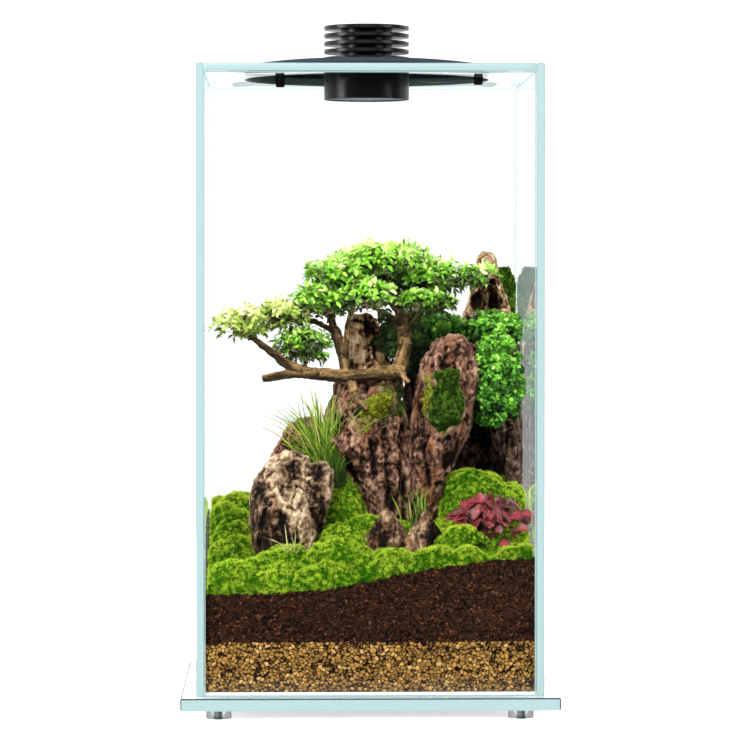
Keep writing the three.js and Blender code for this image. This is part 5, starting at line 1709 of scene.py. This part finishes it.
class TERRARIUM_OT_stage(bpy.types.Operator):
    """Sets up the pale floor, the soft studio lights and the camera"""
    bl_idname = "terrarium.stage"
    bl_label = "Stage"

    def execute(self, context):
        scene = context.scene
        settings = scene.terrarium.stage
        scene.view_settings.view_transform = "Standard"
        scene.world = bpy.data.worlds.new("Studio")
        scene.world.use_nodes = True
        tree = scene.world.node_tree
        tree.nodes.clear()
        rays = add(tree, "LightPath").node.outputs
        way = add(tree, "TexCoord", out="Generated")
        back = add(tree, "SeparateXYZ", {"Vector": way}, out="Y")
        # painted reflection: glossy rays see a sky black towards the front and white behind, while the camera
        # sees plain white and diffuse rays a dim fill
        behind = add(tree, "ValToRGB", {"Fac": back}, [(0.0, (0.004, 0.004, 0.004, 1)), (0.25, WHITE)])
        seen = add(tree, "Background", {"Color": WHITE, "Strength": 1.3})
        mirrored = add(tree, "Background", {"Color": behind, "Strength": 1.4})
        fill = add(tree, "Background", {"Color": (0.96, 0.98, 1, 1), "Strength": 0.17})
        glossy = add(tree, "MixShader", {0: rays["Is Glossy Ray"], 1: seen, 2: mirrored})
        surfaced(scene.world, add(tree, "MixShader", {0: rays["Is Diffuse Ray"], 1: glossy, 2: fill}),
                 "World")

        corners = [(-2200, -2300, 0), (2200, -2300, 0), (2200, 1800, 0), (-2200, 1800, 0)]
        floor_mesh = new_mesh("studio_floor", np.array(corners, dtype=float), np.array([[0, 1, 2, 3]]))
        material, tree = blank("Studio floor, matt white paint")
        place = add(tree, "TexCoord", out="Object")
        grain = add(tree, "TexNoise", {"Vector": place, "Scale": 1 / (2 * MM), "Detail": 2.0})
        tone = add(tree, "ValToRGB", {"Fac": grain}, [
            (0.2, shaded(settings.floor, 0.99)), (0.8, settings.floor)])
        skin = add(tree, "BsdfPrincipled", {
            "Base Color": tone, "Roughness": 0.9, "Specular IOR Level": 0.0,
            "Emission Color": WHITE, "Emission Strength": 0.6})
        # painted reflection: mirrored in the glass and the steel, the floor is black far before the case,
        # grows bright up to the case's front, and is dim from there on
        is_glossy = add(tree, "LightPath", out="Is Glossy Ray")
        back = add(tree, "SeparateXYZ", {"Vector": place}, out="Y")
        beyond = add(tree, "Math", {0: back, 1: CASE_FRONT}, operation="GREATER_THAN")
        strip = add(tree, "MapRange", {
            "Value": back, "From Min": FLOOR_BLACK, "From Max": CASE_FRONT, "To Min": 0.0, "To Max": 1.0})
        dim = add(tree, "Math", {0: beyond, 1: -0.6, 2: strip}, operation="MULTIPLY_ADD")
        unlit = add(tree, "Emission", {"Color": WHITE, "Strength": dim})
        surfaced(material, add(tree, "MixShader", {0: is_glossy, 1: skin, 2: unlit}))
        floor = bpy.data.objects.new("studio_floor", floor_mesh)
        floor_mesh.materials.append(material)
        scene.collection.objects.link(floor)

        for name, at, aim, wide, tall, share in STUDIO_LIGHTS:
            soft_box(f"{name} light", at, aim, wide, tall, settings.key_power * share)

        data = bpy.data.cameras.new("Camera")
        data.lens = settings.lens_length
        data.sensor_width = 36.0
        data.clip_end = 100.0
        scene.camera = pointed(bpy.data.objects.new("Camera", data), CAMERA_AT, CAMERA_AIM)
        return {"FINISHED"}


# ---------------------------------------------------------------- panel and registration

STEPS = ("stage", "case", "feet", "lamp", "beds", "stones", "moss", "tree", "crown", "creepers",
         "grasses", "red_plant")


def own_fields(settings):
    """Names of the sizes and colours in a group of settings."""
    return [name for name in settings.bl_rna.properties.keys() if name not in ("rna_type", "name")]


class TERRARIUM_PT_panel(bpy.types.Panel):
    """Sizes, colours and building steps of the terrarium"""
    bl_idname = "TERRARIUM_PT_panel"
    bl_label = "Terrarium"
    bl_space_type = "VIEW_3D"
    bl_region_type = "UI"
    bl_category = "Terrarium"

    def draw(self, context):
        settings = context.scene.terrarium
        for group in own_fields(settings):
            box = self.layout.box()
            box.label(text=group.capitalize())
            part = getattr(settings, group)
            for field in own_fields(part):
                box.prop(part, field)
        for step in STEPS:
            self.layout.operator(f"terrarium.{step}")


CLASSES = (
    CaseSettings, LampSettings, BedSettings, StoneSettings, MossSettings, TreeSettings, PlantSettings,
    StageSettings, TerrariumSettings, TERRARIUM_OT_stage, TERRARIUM_OT_case, TERRARIUM_OT_feet,
    TERRARIUM_OT_lamp, TERRARIUM_OT_beds, TERRARIUM_OT_stones, TERRARIUM_OT_moss, TERRARIUM_OT_tree,
    TERRARIUM_OT_crown, TERRARIUM_OT_creepers, TERRARIUM_OT_grasses, TERRARIUM_OT_red_plant,
    TERRARIUM_PT_panel,
)


def register():
    for part in CLASSES:
        bpy.utils.register_class(part)
    bpy.types.Scene.terrarium = bpy.props.PointerProperty(type=TerrariumSettings)


def unregister():
    del bpy.types.Scene.terrarium
    for part in reversed(CLASSES):
        bpy.utils.unregister_class(part)


def main():
    register()
    for step in STEPS:
        getattr(bpy.ops.terrarium, step)()


if __name__ == "__main__":
    main()
